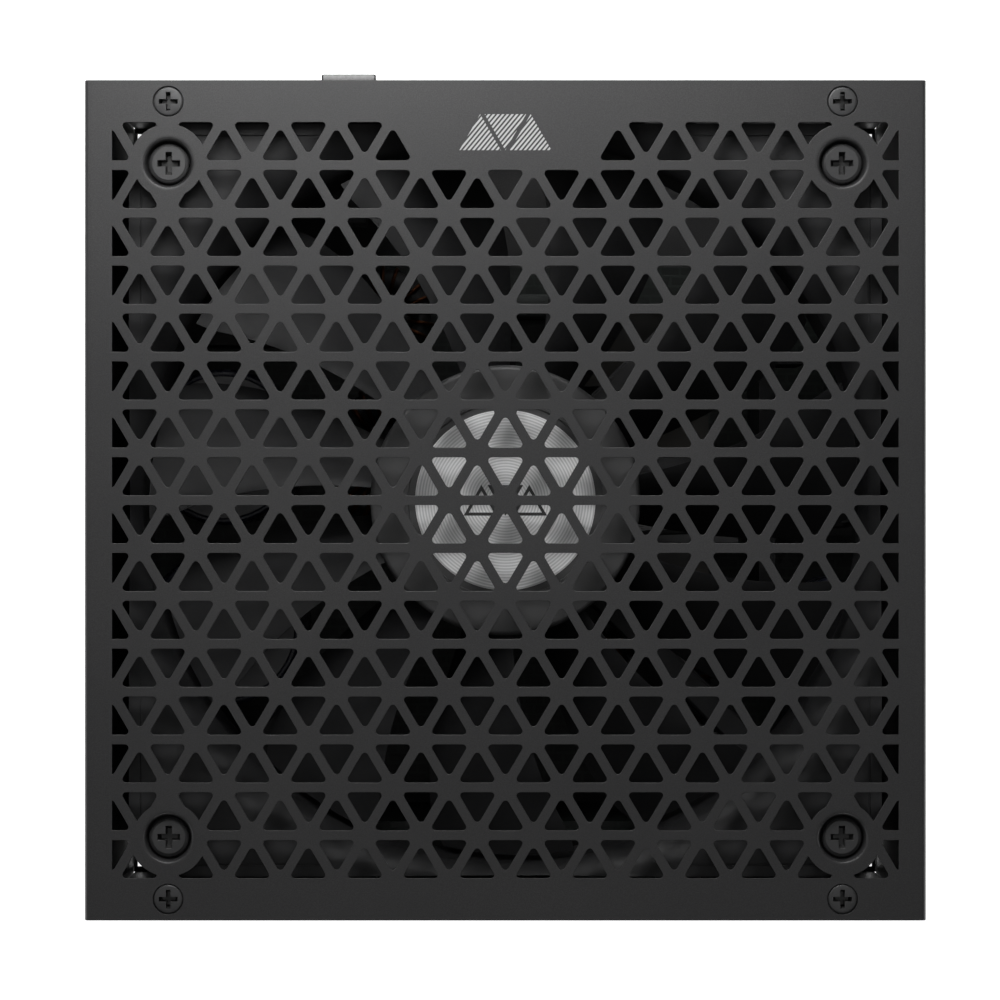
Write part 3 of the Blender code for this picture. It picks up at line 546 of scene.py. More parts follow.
def carve(bm, steps):
    """Runs a list of (operation, bmesh) Booleans on bm and returns the result."""
    ob = as_temp(bm)
    tools = []
    for op, other in steps:
        t = as_temp(other)
        tools.append(t)
        m = ob.modifiers.new("b", "BOOLEAN")
        m.operation = op
        m.object = t
        m.solver = "EXACT"
    dg = bpy.context.evaluated_depsgraph_get()
    me = bpy.data.meshes.new_from_object(ob.evaluated_get(dg))
    out = bmesh.new()
    out.from_mesh(me)
    bpy.data.meshes.remove(me)
    for t in tools + [ob]:
        data = t.data
        bpy.data.objects.remove(t)
        bpy.data.meshes.remove(data)
    return out


def bm_box(lo, hi):
    bm = bmesh.new()
    add_box(bm, lo, hi)
    return bm


def bm_spin(profile, n, centre=(0, 0), closed=False):
    bm = bmesh.new()
    spin(bm, profile, n, centre, closed)
    return bm


# ===================================================================== fan cover
def cover_openings():
    holes = []
    rows = 16
    top = rows / 2 * TRI_ROW
    for row in range(rows):
        yc = top - (row + 0.5) * TRI_ROW
        for k in range(-14, 15):
            x = k * TRI_P / 2
            if row == 0 and abs(x) < 18.0:
                continue
            if row in (0, 1, rows - 2, rows - 1) and abs(abs(x) - SCREW_X) < 0.5:
                continue
            up = (k + row) % 2 == 0
            pts = lattice_hole(x, yc, up)
            if abs(k) == 14:
                pts = clip_half(pts, WINDOW_X, 1 if k > 0 else -1)
            for sx, sy in SIGNS:
                inner = abs(yc) < FAN_SCREW_Y
                pts = clip_disc(pts, sx * SCREW_X, sy * FAN_SCREW_Y,
                                6.25 if inner else 6.9)
                if not pts:
                    break
            if len(pts) > 4:
                holes.append(pts)
    for sx, sy in SIGNS:
        holes.append(circle(sx * SCREW_X, sy * FAN_SCREW_Y, 4.72, 48))
        holes.append(circle(sx * SCREW_X, sy * COVER_SCREW_Y, 2.74, 48))
    return holes


def fold_side(bm, s):
    """Bend and side wall of the cover, s = -1 or 1."""
    r = 0.7
    lap = CASE_HX - 1.6
    outer = [(lap, TOP)] + arc(CASE_HX - r, TOP - r, r, 90, 0, 6) + [(CASE_HX, CLO.z + 0.15), (CASE_HX - 0.15, CLO.z)]
    inner = [(CASE_HX - SHEET + 0.15, CLO.z), (CASE_HX - SHEET, CLO.z + 0.15),
             (CASE_HX - SHEET, TOP - SHEET - 0.3), (CASE_HX - SHEET - 0.3, TOP - SHEET),
             (lap, TOP - SHEET)]
    pts = [(s * u, z) for u, z in outer + inner]
    extrude_profile(bm, pts, -COVER_HY, COVER_HY, "Y")


def dimple(bm, cx, cy):
    """Pressed cup: rolled lip, sloping wall, radiused floor, screw hole."""
    floor = TOP - 3.0
    prof = ([(5.05, TOP), (4.66, TOP)]
            + [(4.66 - 0.42 * math.sin(t), TOP - 0.42 * (1 - math.cos(t)))
               for t in (0.4, 0.8, 1.2)]
            + [(4.05, TOP - 0.9), (3.95, floor + 0.45), (3.82, floor + 0.14),
               (3.5, floor), (2.15, floor), (2.15, floor - 0.75), (4.4, floor - 0.75),
               (4.7, TOP - 1.4), (5.05, TOP - SHEET)])
    spin(bm, prof, 48, (cx, cy), closed=True)


cover_bm = plate_bm(rect(-CASE_HX + 0.9, -COVER_HY, CASE_HX - 0.9, COVER_HY),
                    cover_openings(), TOP - SHEET, TOP - SKIN, 0.06, 1)
cover = emit("fan_cover_sheet", cover_bm, "coat", angle=12)
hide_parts("fan_cover")
bm = bmesh.new()
for s in (-1, 1):
    fold_side(bm, s)
rounded(emit("fan_cover_folds", bm, "coat", angle=30), 0.1, 1, 50)
bm = bmesh.new()
for sx, sy in SIGNS:
    dimple(bm, sx * SCREW_X, sy * FAN_SCREW_Y)
emit("fan_cover_dimples", bm, "coat", angle=50)


# ------------------------------------------------------------ printed emblem
def hatch_triangle(bm, cx, cy, size, up, pitch, width, z):
    """A triangle drawn in slanting stripes."""
    h = size * math.sqrt(3) / 2
    tri = [(cx - size / 2, cy - h / 2), (cx + size / 2, cy - h / 2), (cx, cy + h / 2)]
    if not up:
        tri = [(x, 2 * cy - y) for x, y in tri][::-1]
    d = Vector((1, 1.2)).normalized()
    nrm = Vector((-d.y, d.x))

    def cut(poly, limit, sign):
        out = []
        for i, q in enumerate(poly):
            p = poly[i - 1]
            dp = sign * (limit - nrm.dot(Vector(p)))
            dq = sign * (limit - nrm.dot(Vector(q)))
            if (dp < 0) != (dq < 0):
                t = dp / (dp - dq)
                out.append((p[0] + (q[0] - p[0]) * t, p[1] + (q[1] - p[1]) * t))
            if dq >= 0:
                out.append(q)
        return out
    vals = [nrm.dot(Vector(p)) for p in tri]
    k = math.floor(min(vals) / pitch)
    while k * pitch < max(vals):
        stripe = cut(cut(tri, k * pitch + width, 1), k * pitch, -1)
        if len(stripe) > 2:
            low = [bm.verts.new((x, y, z - 0.0045)) for x, y in stripe]
            high = [bm.verts.new((x, y, z)) for x, y in stripe]
            bm.faces.new(high)
            bm.faces.new(low[::-1])
            for i in range(len(stripe)):
                j = (i + 1) % len(stripe)
                bm.faces.new((low[i], low[j], high[j], high[i]))
        k += 1


bm = bmesh.new()
for k in range(3):
    hatch_triangle(bm, (k - 1) * 4.5, 65.6, 7.4, k % 2 == 0, 0.64, 0.34, TOP)
emblem = emit("cover_print", bm, "white_ink", smooth=False)


# ===================================================================== screws
def cross_tool(cx, cy, top, span, arm, depth, taper=0.72):
    """Tapered four-winged recess."""
    bm = bmesh.new()

    def ring(half, w, z):
        pts = [(half, -w), (half, w), (w, w), (w, half), (-w, half), (-w, w),
               (-half, w), (-half, -w), (-w, -w), (-w, -half), (w, -half), (w, -w)]
        return [bm.verts.new((cx + x, cy + y, z)) for x, y in pts]
    over = 0.3
    grow = over * (span / 2) * (1 - taper) / depth
    a = ring(span / 2 + grow, arm / 2 + 0.03, top + over)
    b = ring(span / 2 * taper, arm / 2 * 0.75, top - depth)
    for i in range(12):
        j = (i + 1) % 12
        bm.faces.new((a[i], a[j], b[j], b[i]))
    bm.faces.new(a[::-1])
    bm.faces.new(b)
    return bm


for i, (sx, sy) in enumerate([(-1, 1), (1, 1), (-1, -1), (1, -1)], 1):
    for kind, y in (("cover_screw", COVER_SCREW_Y), ("fan_screw", FAN_SCREW_Y)):
        node = "%s_%d" % (kind, i)
        lo, hi = mm_box(node)
        cx, cy = sx * SCREW_X, sy * y
        t = hi.z
        if kind == "cover_screw":
            prof = [(0, t), (2.3, t), (2.46, t - 0.04), (2.55, t - 0.13),
                    (2.56, t - 0.24), (1.95, t - 0.9), (1.25, t - 1.2)]
            cross = (3.4, 0.80, 1.9)
        else:
            prof = [(0, t), (2.98, t), (3.04, t - 0.10), (3.10, t - 0.12),
                    (3.42, t - 0.30), (3.51, t - 0.42), (3.51, t - 1.25),
                    (3.42, t - 1.38), (1.8, t - 1.4)]
            cross = (4.05, 1.10, 2.0)
        r = prof[-1][0]
        z = prof[-1][1]
        while z - 0.5 > lo.z + 0.6:       # rolled thread
            prof += [(r, z - 0.12), (r - 0.18, z - 0.3), (r, z - 0.5)]
            z -= 0.5
        prof += [(r - 0.3, lo.z), (0, lo.z)]
        b = carve(bm_spin(prof, 40, (cx, cy)),
                  [("DIFFERENCE", cross_tool(cx, cy, t, *cross))])
        ob = emit(node + "_fine", b, "screw", angle=35)
        ob.data.materials.append(MAT["ink_and_recess_shade"])     # the recess faces get the darker material: painted shade in the cross recess
        # faces inside the cross recess take slot 1, the painted shade
        for f in ob.data.polygons:
            c = f.center / MM
            near = math.hypot(c.x - cx, c.y - cy) < cross[0] / 2 - 0.02
            if near and c.z < t - 0.04 and c.z > t - cross[2] - 0.05:
                f.material_index = 1
        rounded(ob, 0.04, 1, 40)
        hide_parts(node)


# ===================================================================== base shell
INLET_X, INLET_Z = -53.0, 30.0
SWITCH_X, SWITCH_Z = -29.8, 30.0
ATX = ((6, 80), (6, 16), (120, 80), (144, 6))
PANEL_HX = BHI.x
PANEL_TOP = BHI.z

rear_holes = [rect(INLET_X - 13.7, INLET_Z - 10, INLET_X + 13.7, INLET_Z + 10, 0.8),
              rect(SWITCH_X - 7, SWITCH_Z - 10.3, SWITCH_X + 7, SWITCH_Z + 10.3, 0.5)]
rear_holes += [circle(-75.0 + u, z, 1.6, 32) for u, z in ATX]
for row in range(7):
    zc = 11.5 + (row + 0.5) * TRI_ROW
    for k in range(-2, 13):
        rear_holes.append(lattice_hole(k * TRI_P / 2, zc, (k + row) % 2 == 0))


def socket_size(cols, rows):
    return cols * 4.2 + 1.8, rows * 4.2 + 1.8


SOCKETS = {"socket_main_18": (9, 2), "socket_main_10": (5, 2),
           "socket_eight_1": (4, 2), "socket_eight_2": (4, 2),
           "socket_eight_3": (4, 2), "socket_eight_4": (4, 2),
           "socket_six_1": (3, 2), "socket_six_2": (3, 2), "socket_six_3": (3, 2)}
front_holes = []
for node in SOCKETS:
    lo, hi = mm_box(node)
    front_holes.append(rect(lo.x - GAP, lo.z - GAP, hi.x + GAP, hi.z + GAP, 0.3, 3))

shell = bmesh.new()
merge(shell, stand(plate_bm(rect(-PANEL_HX, 0.75, PANEL_HX, PANEL_TOP), rear_holes,
                            -SHEET, -SKIN, 0.12), PANEL_Y, 1))
merge(shell, stand(plate_bm(rect(-PANEL_HX, 0.75, PANEL_HX, PANEL_TOP), front_holes,
                            -SHEET, -SKIN, 0.12), -PANEL_Y, -1))
slots = [rect(*(min(sx * 72.5, sx * 73.4), min(sy * 66.0, sy * 73.9)),
              *(max(sx * 72.5, sx * 73.4), max(sy * 66.0, sy * 73.9)), 0.3, 3)
         for sx, sy in SIGNS]
FLOOR_HX = CASE_HX - SHEET - 0.05
merge(shell, plate_bm(rect(-FLOOR_HX, -PANEL_Y + 0.75, FLOOR_HX, PANEL_Y - 0.75), slots,
                      SKIN, SHEET, 0.1))
base = emit("base_shell_sheet", shell, "coat", angle=12)
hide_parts("base_shell")
folds = bmesh.new()
for s in (-1, 1):
    r = 0.7
    pts = ([(PANEL_Y - 1.8, 0.0)] + arc(PANEL_Y - r, r, r, -90, 0, 6)
           + [(PANEL_Y, 1.8), (PANEL_Y - SHEET, 1.8), (PANEL_Y - SHEET, SHEET),
              (PANEL_Y - 1.8, SHEET)])
    extrude_profile(folds, [(s * u, z) for u, z in pts], -PANEL_HX, PANEL_HX, "X")
emit("base_shell_folds", folds, "coat", angle=30)

tabs = bmesh.new()
for sx, sy in SIGNS:
    cx = sx * SCREW_X
    pts = ([(68.5, PANEL_TOP)] + arc(PANEL_Y - 0.8, PANEL_TOP - 0.8, 0.8, 90, 0, 5)
           + [(PANEL_Y, PANEL_TOP - 1.6), (PANEL_Y - SHEET, PANEL_TOP - 1.6),
              (PANEL_Y - SHEET, PANEL_TOP - SHEET), (68.5, PANEL_TOP - SHEET)])
    b = bmesh.new()
    extrude_profile(b, [(sy * u, z) for u, z in pts], cx - 5.5, cx + 5.5, "X")
    b = carve(b, [("DIFFERENCE", bm_spin([(0, PANEL_TOP + 1), (1.55, PANEL_TOP + 1),
                                          (1.55, PANEL_TOP - 2), (0, PANEL_TOP - 2)],
                                         24, (cx, sy * COVER_SCREW_Y)))])
    merge(tabs, b)
rounded(emit("base_shell_tabs", tabs, "coat", angle=30), 0.1, 1, 50)

posts = bmesh.new()
for sx in (-1, 1):
    for y in (-52.0, 42.0):
        spin(posts, [(3.4, 0.5), (3.4, 0.9), (3.0, 1.5), (2.9, 6.6), (2.7, 6.7),
                     (1.75, 6.7), (1.75, 1.6), (0, 1.6)], 32, (sx * 67.0, y))
emit("base_shell_posts", posts, "steel", angle=40)


# ===================================================================== fan frame
FAN_TOP, FAN_BOT = FHI.z, FLO.z
HALF = FHI.x
CORNER = 7.3


def block(half, r, z0, z1, n=10):
    b = bmesh.new()
    pts = rect(-half, -half, half, half, r, n)
    lo = [b.verts.new((x, y, z0)) for x, y in pts]
    hi = [b.verts.new((x, y, z1)) for x, y in pts]
    m = len(pts)
    for i in range(m):
        j = (i + 1) % m
        b.faces.new((lo[i], lo[j], hi[j], hi[i]))
    b.faces.new(lo[::-1])
    b.faces.new(hi)
    return b


def ring_tool(half, r, width, z0, z1):
    """Thin rounded-square ring that cuts a line."""
    b = bmesh.new()
    loops = []
    for h, rr in ((half, r), (half - width, r - width)):
        pts = rect(-h, -h, h, h, rr, 10)
        loops.append([[b.verts.new((x, y, z)) for x, y in pts] for z in (z0, z1)])
    (ol, oh), (il, ih) = loops
    m = len(ol)
    for i in range(m):
        j = (i + 1) % m
        b.faces.new((ol[i], ol[j], oh[j], oh[i]))
        b.faces.new((il[j], il[i], ih[i], ih[j]))
        b.faces.new((oh[i], oh[j], ih[j], ih[i]))
        b.faces.new((ol[j], ol[i], il[i], il[j]))
    return b


mouth = [(0, FAN_TOP + 1), (75.6, FAN_TOP + 1), (75.0, FAN_TOP)]
for i in range(1, 9):                     # quarter-round mouth down to the tunnel
    t = math.radians(90 * i / 8)
    mouth.append((75.0 - 9.6 * math.sin(t), FAN_TOP - 6.6 * (1 - math.cos(t)) ** 0.9))
mouth += [(65.4, FAN_BOT - 1), (0, FAN_BOT - 1)]
waist = block(HALF + 2, 3, FAN_BOT + 3.6, FAN_TOP - 4.2)
waist = carve(waist, [("DIFFERENCE", bm_spin([(0, FAN_TOP), (68.0, FAN_TOP),
                                              (68.0, FAN_BOT), (0, FAN_BOT)], 96))])
steps = [("DIFFERENCE", waist), ("DIFFERENCE", bm_spin(mouth, 144)),
         ("DIFFERENCE", ring_tool(HALF - 2.05, CORNER - 2.05, 0.3, FAN_TOP - 0.35,
                                  FAN_TOP + 1))]
for sx, sy in SIGNS:
    steps.append(("DIFFERENCE", bm_spin([(0, FAN_TOP + 1), (2.1, FAN_TOP + 1),
                                         (2.1, FAN_BOT - 1), (0, FAN_BOT - 1)], 24,
                                        (sx * SCREW_X, sy * FAN_SCREW_Y))))
fb = carve(block(HALF, CORNER, FAN_BOT, FAN_TOP), steps)
fan_frame = emit("fan_frame_fine", fb, "fan", angle=28)
rounded(fan_frame, 0.18, 2, 50)
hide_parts("fan_frame")
motor = bmesh.new()
spin(motor, [(0, FAN_BOT + 2.9), (3.7, FAN_BOT + 2.9), (3.7, FAN_BOT + 14.8),
             (3.9, FAN_BOT + 15.0), (5.3, FAN_BOT + 15.0), (5.5, FAN_BOT + 14.8),
             (5.5, FAN_BOT + 3.4), (5.9, FAN_BOT + 3.0), (23.6, FAN_BOT + 3.0),
             (24.0, FAN_BOT + 2.6), (24.0, FAN_BOT + 0.4), (23.6, FAN_BOT),
             (0, FAN_BOT)], 64)
for k in range(4):
    a = math.radians(45 + 90 * k)
    pts = [(22.5, -2.5), (66.0, -2.5), (66.0, 2.5), (22.5, 2.5)]
    prof = [(-2.6, 0.4), (-2.2, 0.0), (2.2, 0.0), (2.6, 0.4), (2.3, 2.2), (1.9, 2.6),
            (-1.9, 2.6), (-2.3, 2.2)]
    rot = Matrix.Rotation(a, 3, "Z")
    near = [motor.verts.new(rot @ Vector((22.5, u, FAN_BOT + w))) for u, w in prof]
    far = [motor.verts.new(rot @ Vector((66.0, u, FAN_BOT + w))) for u, w in prof]
    for i in range(8):
        j = (i + 1) % 8
        motor.faces.new((near[i], near[j], far[j], far[i]))
    motor.faces.new(near[::-1])
    motor.faces.new(far)
emit("fan_frame_motor_mount", motor, "fan", angle=35)

# ===================================================================== impeller
HUB_TOP, HUB_BOT = IHI.z, ILO.z
HUB_R, TIP_R, BLADES = 24.3, 64.3, 11
hub = bmesh.new()
edge = [(HUB_R - 0.9 * (1 - math.sin(math.radians(a))),
         HUB_TOP - 0.9 * (1 - math.cos(math.radians(a)))) for a in range(0, 91, 15)]
hub_bottom = FAN_BOT + 5.6
spin(hub, [(0, HUB_TOP - 0.34), (17.3, HUB_TOP - 0.34), (17.4, HUB_TOP - 0.30),
           (17.45, HUB_TOP - 0.08), (17.6, HUB_TOP)] + edge
     + [(HUB_R, hub_bottom + 0.2), (HUB_R - 0.2, hub_bottom), (22.9, hub_bottom),
        (22.8, hub_bottom + 0.1), (22.8, HUB_TOP - 1.8), (3.4, HUB_TOP - 1.8),
        (3.4, HUB_TOP - 7.9), (3.3, HUB_TOP - 8.0), (1.8, HUB_TOP - 8.0),
        (1.8, HUB_TOP - 2.4), (0, HUB_TOP - 2.4)], 128)
hub_ob = emit("fan_hub_fine", hub, "hub", "rotor", angle=40)
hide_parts("fan_impeller")


def blade_mid(r, s):
    t = (r - HUB_R) / (TIP_R - HUB_R)
    centre = 0.5 + 8.2 * max(t, 0.0) ** 2
    width = 21.0 + 2.4 * min(1.0, 1.6 * max(t, 0.0))
    a = math.radians(centre + s * width)
    rise = 14.2 - 2.2 * t
    z = FAN_TOP - 10.9 + s * rise + 1.3 * (1 - 4 * s * s)
    return Vector((r * math.cos(a), r * math.sin(a), z))


def blade(bm, turn):
    """Cambered aerofoil blade: thick inside its nose, thin at its tail."""
    nr, ns = 22, 16
    sheets = {}
    for side in (1, -1):
        grid = []
        for i in range(nr + 1):
            t = i / nr
            r = 23.8 + (TIP_R - 23.8) * t
            row = []
            for j in range(ns + 1):
                s = -0.5 + j / ns
                # corners of the tip are rounded off
                pull = 0.0
                if t > 0.86:
                    q = (t - 0.86) / 0.14
                    pull = 0.09 * q * q
                ss = s * (1 - pull)
                p = blade_mid(r, ss)
                dr = blade_mid(r + 0.05, ss) - blade_mid(r - 0.05, ss)
                ds = blade_mid(r, ss + 0.002) - blade_mid(r, ss - 0.002)
                nrm = dr.cross(ds).normalized()
                u = 0.5 - s                 # 0 at the leading edge
                half = (0.12 + 2.1 * math.sqrt(max(u, 0)) * (1 - u) * 0.62
                        + 0.10 * (1 - u)) * (1.0 - 0.3 * t)
                if j in (0, ns):
                    half = 0.10
                row.append(bm.verts.new(turn @ (p + nrm * half * side * 0.75)))
            grid.append(row)
        sheets[side] = grid
    up, dn = sheets[1], sheets[-1]
    for i in range(nr):
        for j in range(ns):
            bm.faces.new((up[i][j], up[i + 1][j], up[i + 1][j + 1], up[i][j + 1]))
            bm.faces.new((dn[i][j], dn[i][j + 1], dn[i + 1][j + 1], dn[i + 1][j]))
    for i in range(nr):
        for j in (0, ns):
            a, b, c, d = up[i][j], up[i + 1][j], dn[i + 1][j], dn[i][j]
            bm.faces.new((a, b, c, d) if j else (d, c, b, a))
    for j in range(ns):
        for i in (0, nr):
            a, b, c, d = up[i][j], up[i][j + 1], dn[i][j + 1], dn[i][j]
            bm.faces.new((a, b, c, d) if i == 0 else (d, c, b, a))


bl = bmesh.new()
for k in range(BLADES):
    blade(bl, Matrix.Rotation(2 * math.pi * k / BLADES, 3, "Z"))
emit("fan_blades_fine", bl, "blade", "rotor", angle=50)

# ------------------------------------------------------------ hub label
LLO, LHI = mm_box("hub_label")
lab = bmesh.new()
ridges = []
for i in range(1, 31):                    # turned rings, 0.52 mm apart
    r = 0.52 * i
    ridges += [(r - 0.13, LHI.z - 0.06), (r + 0.13, LHI.z - 0.02)]
spin(lab, [(0, LHI.z - 0.04)] + ridges + [(15.9, LHI.z - 0.03), (16.12, LHI.z - 0.06),
     (16.2, LHI.z - 0.12), (16.2, LLO.z), (0, LLO.z)], 128)
label = emit("hub_label_fine", lab, "foil", "rotor", angle=40)
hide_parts("hub_label")
mark = bmesh.new()


def outline_triangle(bm, cx, cy, size, up, w, z0, z1):
    """Triangle drawn as a line of width w."""
    a0 = 90 if up else -90
    rings = []
    for rad in (size, size - 2 * w):
        rings.append([(cx + rad * math.cos(math.radians(a0 + 120 * k)),
                       cy + rad * math.sin(math.radians(a0 + 120 * k)))
                      for k in range(3)])
    v = [[bm.verts.new((x, y, z)) for x, y in ring] for ring in rings for z in (z0, z1)]
    ol, oh, il, ih = v
    for i in range(3):
        j = (i + 1) % 3
        bm.faces.new((oh[i], oh[j], ih[j], ih[i]))
        bm.faces.new((ol[i], ol[j], oh[j], oh[i]))
        bm.faces.new((il[i], il[j], ih[j], ih[i]))
        bm.faces.new((ol[i], ol[j], il[j], il[i]))


for k in range(3):
    outline_triangle(mark, (k - 1) * 4.3, 0.9 if k % 2 else -0.9, 3.7,
                     k % 2 == 0, 0.55, LHI.z - 0.05, LHI.z)
emit("hub_label_print", mark, "ink_and_recess_shade", "rotor", smooth=False)


# ===================================================================== rocker
RLO, RHI = mm_box("switch_rocker")
PIVOT = Vector((SWITCH_X, 74.6, SWITCH_Z))
TILT = Matrix.Rotation(-math.radians(12.0), 3, "X")
rise = 8.0 * math.tan(math.radians(12.0))
side = []
for i in range(9):                        # dished thumb face, end to end
    w = -8.0 + 2.0 * i
    f = abs(w) / 8.0
    side.append((3.4 + rise * f - 0.35 * math.sin(math.pi * f) * 0.6, w))
side += [(4.6, 7.98), (1.0, 7.9), (-3.0, 4.5), (-3.0, -4.5), (1.0, -7.9), (4.6, -7.98)]
rk = bmesh.new()
sections = []
for x, inset in ((-5.2, 0.30), (-5.05, 0.10), (-4.8, 0.0), (4.8, 0.0), (5.05, 0.10),
                 (5.2, 0.30)):
    ring = []
    for y, z in side:
        k = 1 - inset / 8.0
        ring.append(rk.verts.new(PIVOT + TILT @ Vector((x, y * k, z * k))))
    sections.append(ring)
n = len(side)
for a, b in zip(sections, sections[1:]):
    for i in range(n):
        j = (i + 1) % n
        rk.faces.new((a[i], a[j], b[j], b[i]))
rk.faces.new(sections[0][::-1])
rk.faces.new(sections[-1])
rocker = emit("switch_rocker_fine", rk, "gloss", "rocker", angle=45)
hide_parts("switch_rocker")
marks = bmesh.new()


def on_paddle(x, w, lift):
    f = abs(w) / 8.0
    y = 3.4 + rise * f - 0.21 * math.sin(math.pi * f) + lift
    return PIVOT + TILT @ Vector((x, y, w))


def paddle_strip(bm, pts_out, pts_in, closed):
    m = len(pts_out)
    tops = [[bm.verts.new(on_paddle(x, w, 0.012)) for x, w in p]
            for p in (pts_out, pts_in)]
    lows = [[bm.verts.new(on_paddle(x, w, -0.03)) for x, w in p]
            for p in (pts_out, pts_in)]
    last = m if closed else m - 1
    for i in range(last):
        j = (i + 1) % m
        bm.faces.new((tops[0][i], tops[0][j], tops[1][j], tops[1][i]))
        bm.faces.new((lows[0][i], lows[0][j], lows[1][j], lows[1][i]))
        bm.faces.new((tops[0][i], tops[0][j], lows[0][j], lows[0][i]))
        bm.faces.new((tops[1][i], tops[1][j], lows[1][j], lows[1][i]))
    if not closed:
        for i in (0, m - 1):
            bm.faces.new((tops[0][i], tops[1][i], lows[1][i], lows[0][i]))


# off ring at the raised end, on bar at the pressed end
paddle_strip(marks, arc(0, 4.6, 1.5, 0, 360, 24)[:-1],
             arc(0, 4.6, 1.1, 0, 360, 24)[:-1], True)
paddle_strip(marks, [(-0.22, -6.1 + 0.5 * i) for i in range(7)],
             [(0.22, -6.1 + 0.5 * i) for i in range(7)], False)
emit("switch_rocker_marks", marks, "white_ink", "rocker", smooth=False)


# ===================================================================== sockets
for node, (cols, rows) in SOCKETS.items():
    lo, hi = mm_box(node)
    cx, cz = (lo.x + hi.x) / 2, (lo.z + hi.z) / 2
    cells, pins = [], bmesh.new()
    for i in range(cols):
        for j in range(rows):
            x = cx + (i - (cols - 1) / 2) * 4.2
            z = cz + (j - (rows - 1) / 2) * 4.2
            h = 1.68
            if (i * 2 + j + cols) % 3:      # square cell
                cells.append(rect(x - h, z - h, x + h, z + h, 0.2, 2))
            else:                           # keyed cell, two corners cut
                c = 0.9
                cells.append([(x - h, z - h), (x + h, z - h), (x + h, z + h - c),
                              (x + h - c, z + h), (x - h + c, z + h),
                              (x - h, z + h - c)])
            add_box(pins, (x - 0.45, lo.y + 2.2, z - 0.45),
                    (x + 0.45, lo.y + 9.4, z + 0.45))
    front = stand(plate_bm(rect(lo.x, lo.z, hi.x, hi.z, 0.35, 3), cells, -9.0, 0.0,
                           0.12), lo.y, -1)
    add_box(front, (lo.x + 0.1, lo.y + 9.0, lo.z + 0.1), (hi.x - 0.1, hi.y, hi.z - 0.1))
    ob = emit(node + "_fine", front, "moulded", angle=30)
    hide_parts(node)
    rounded(emit(node + "_pins", pins, "tin", angle=30), 0.12, 1, 40)


# ===================================================================== inner parts
def wind(name, node, turns, wire):
    """A wound ring core: wire loops laid round a plain core."""
    lo, hi = mm_box(node)
    cx, cy = (lo.x + hi.x) / 2, (lo.y + hi.y) / 2
    minor = (hi.z - lo.z) / 2
    major = (hi.x - lo.x) / 2 - minor
    cz = (lo.z + hi.z) / 2
    core_r = minor - wire * 2.1
    bm = bmesh.new()
    m = 20
    pts = [(major + core_r * math.cos(2 * math.pi * i / m),
            cz + core_r * math.sin(2 * math.pi * i / m)) for i in range(m)]
    spin(bm, pts, 48, (cx, cy), closed=True)
    core = emit(name + "_core", bm, "ferrite", angle=60)
    bm = bmesh.new()
    loop_r = core_r + wire
    for k in range(turns):
        a = 2 * math.pi * (k + 0.5) / turns
        if abs(math.sin(a)) < 0.12:
            continue
        rot = Matrix.Translation((cx, cy, cz)) @ Matrix.Rotation(a, 4, "Z")
        rings = []
        for i in range(18):
            t = 2 * math.pi * i / 18
            c = Vector((major + loop_r * math.cos(t), 0, loop_r * math.sin(t)))
            out = Vector((math.cos(t), 0, math.sin(t)))
            ring = []
            for j in range(6):
                q = 2 * math.pi * j / 6
                ring.append(bm.verts.new(rot @ (c + out * wire * math.cos(q)
                                                + Vector((0, 1, 0)) * wire * math.sin(q))))
            rings.append(ring)
        for i in range(18):
            r0, r1 = rings[i], rings[(i + 1) % 18]
            for j in range(6):
                j2 = (j + 1) % 6
                bm.faces.new((r0[j], r0[j2], r1[j2], r1[j]))
    emit(name + "_wire", bm, "copper", angle=70)
    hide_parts(node)


wind("pfc_choke", "pfc_choke", 30, 0.55)
wind("common_mode_choke", "common_mode_choke", 22, 0.42)
wind("output_inductor", "output_inductor", 26, 0.55)

for node in ("bulk_capacitor_1", "bulk_capacitor_2", "output_capacitor_1",
             "output_capacitor_2", "output_capacitor_3"):
    lo, hi = mm_box(node)
    c = ((lo.x + hi.x) / 2, (lo.y + hi.y) / 2)
    r = (hi.x - lo.x) / 2
    b = bmesh.new()
    spin(b, [(r - 1.3, hi.z - 0.1), (r - 0.9, hi.z), (r - 0.5, hi.z - 0.1),
             (r, hi.z - 0.8), (r, lo.z + 3.4), (r - 0.5, lo.z + 2.8),
             (r - 0.5, lo.z + 2.3), (r, lo.z + 1.7), (r, lo.z + 0.2),
             (r - 0.2, lo.z), (0, lo.z), (0, lo.z + 0.1), (r - 1.3, lo.z + 0.1)],
         48, c, closed=True)
    ob = emit(node + "_sleeve", b, "can", angle=35)
    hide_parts(node)
    b = bm_spin([(0, hi.z - 0.35), (r - 1.4, hi.z - 0.35), (r - 1.2, hi.z - 0.5),
                 (r - 1.2, hi.z - 1.5), (0, hi.z - 1.5)], 48, c)
    w = r * 0.62
    for sz in ((w, 0.25), (0.25, w)):
        b = carve(b, [("DIFFERENCE", bm_box((c[0] - sz[0], c[1] - sz[1], hi.z - 0.55),
                                            (c[0] + sz[0], c[1] + sz[1], hi.z + 1)))])
    emit(node + "_lid", b, "can_top", angle=35)

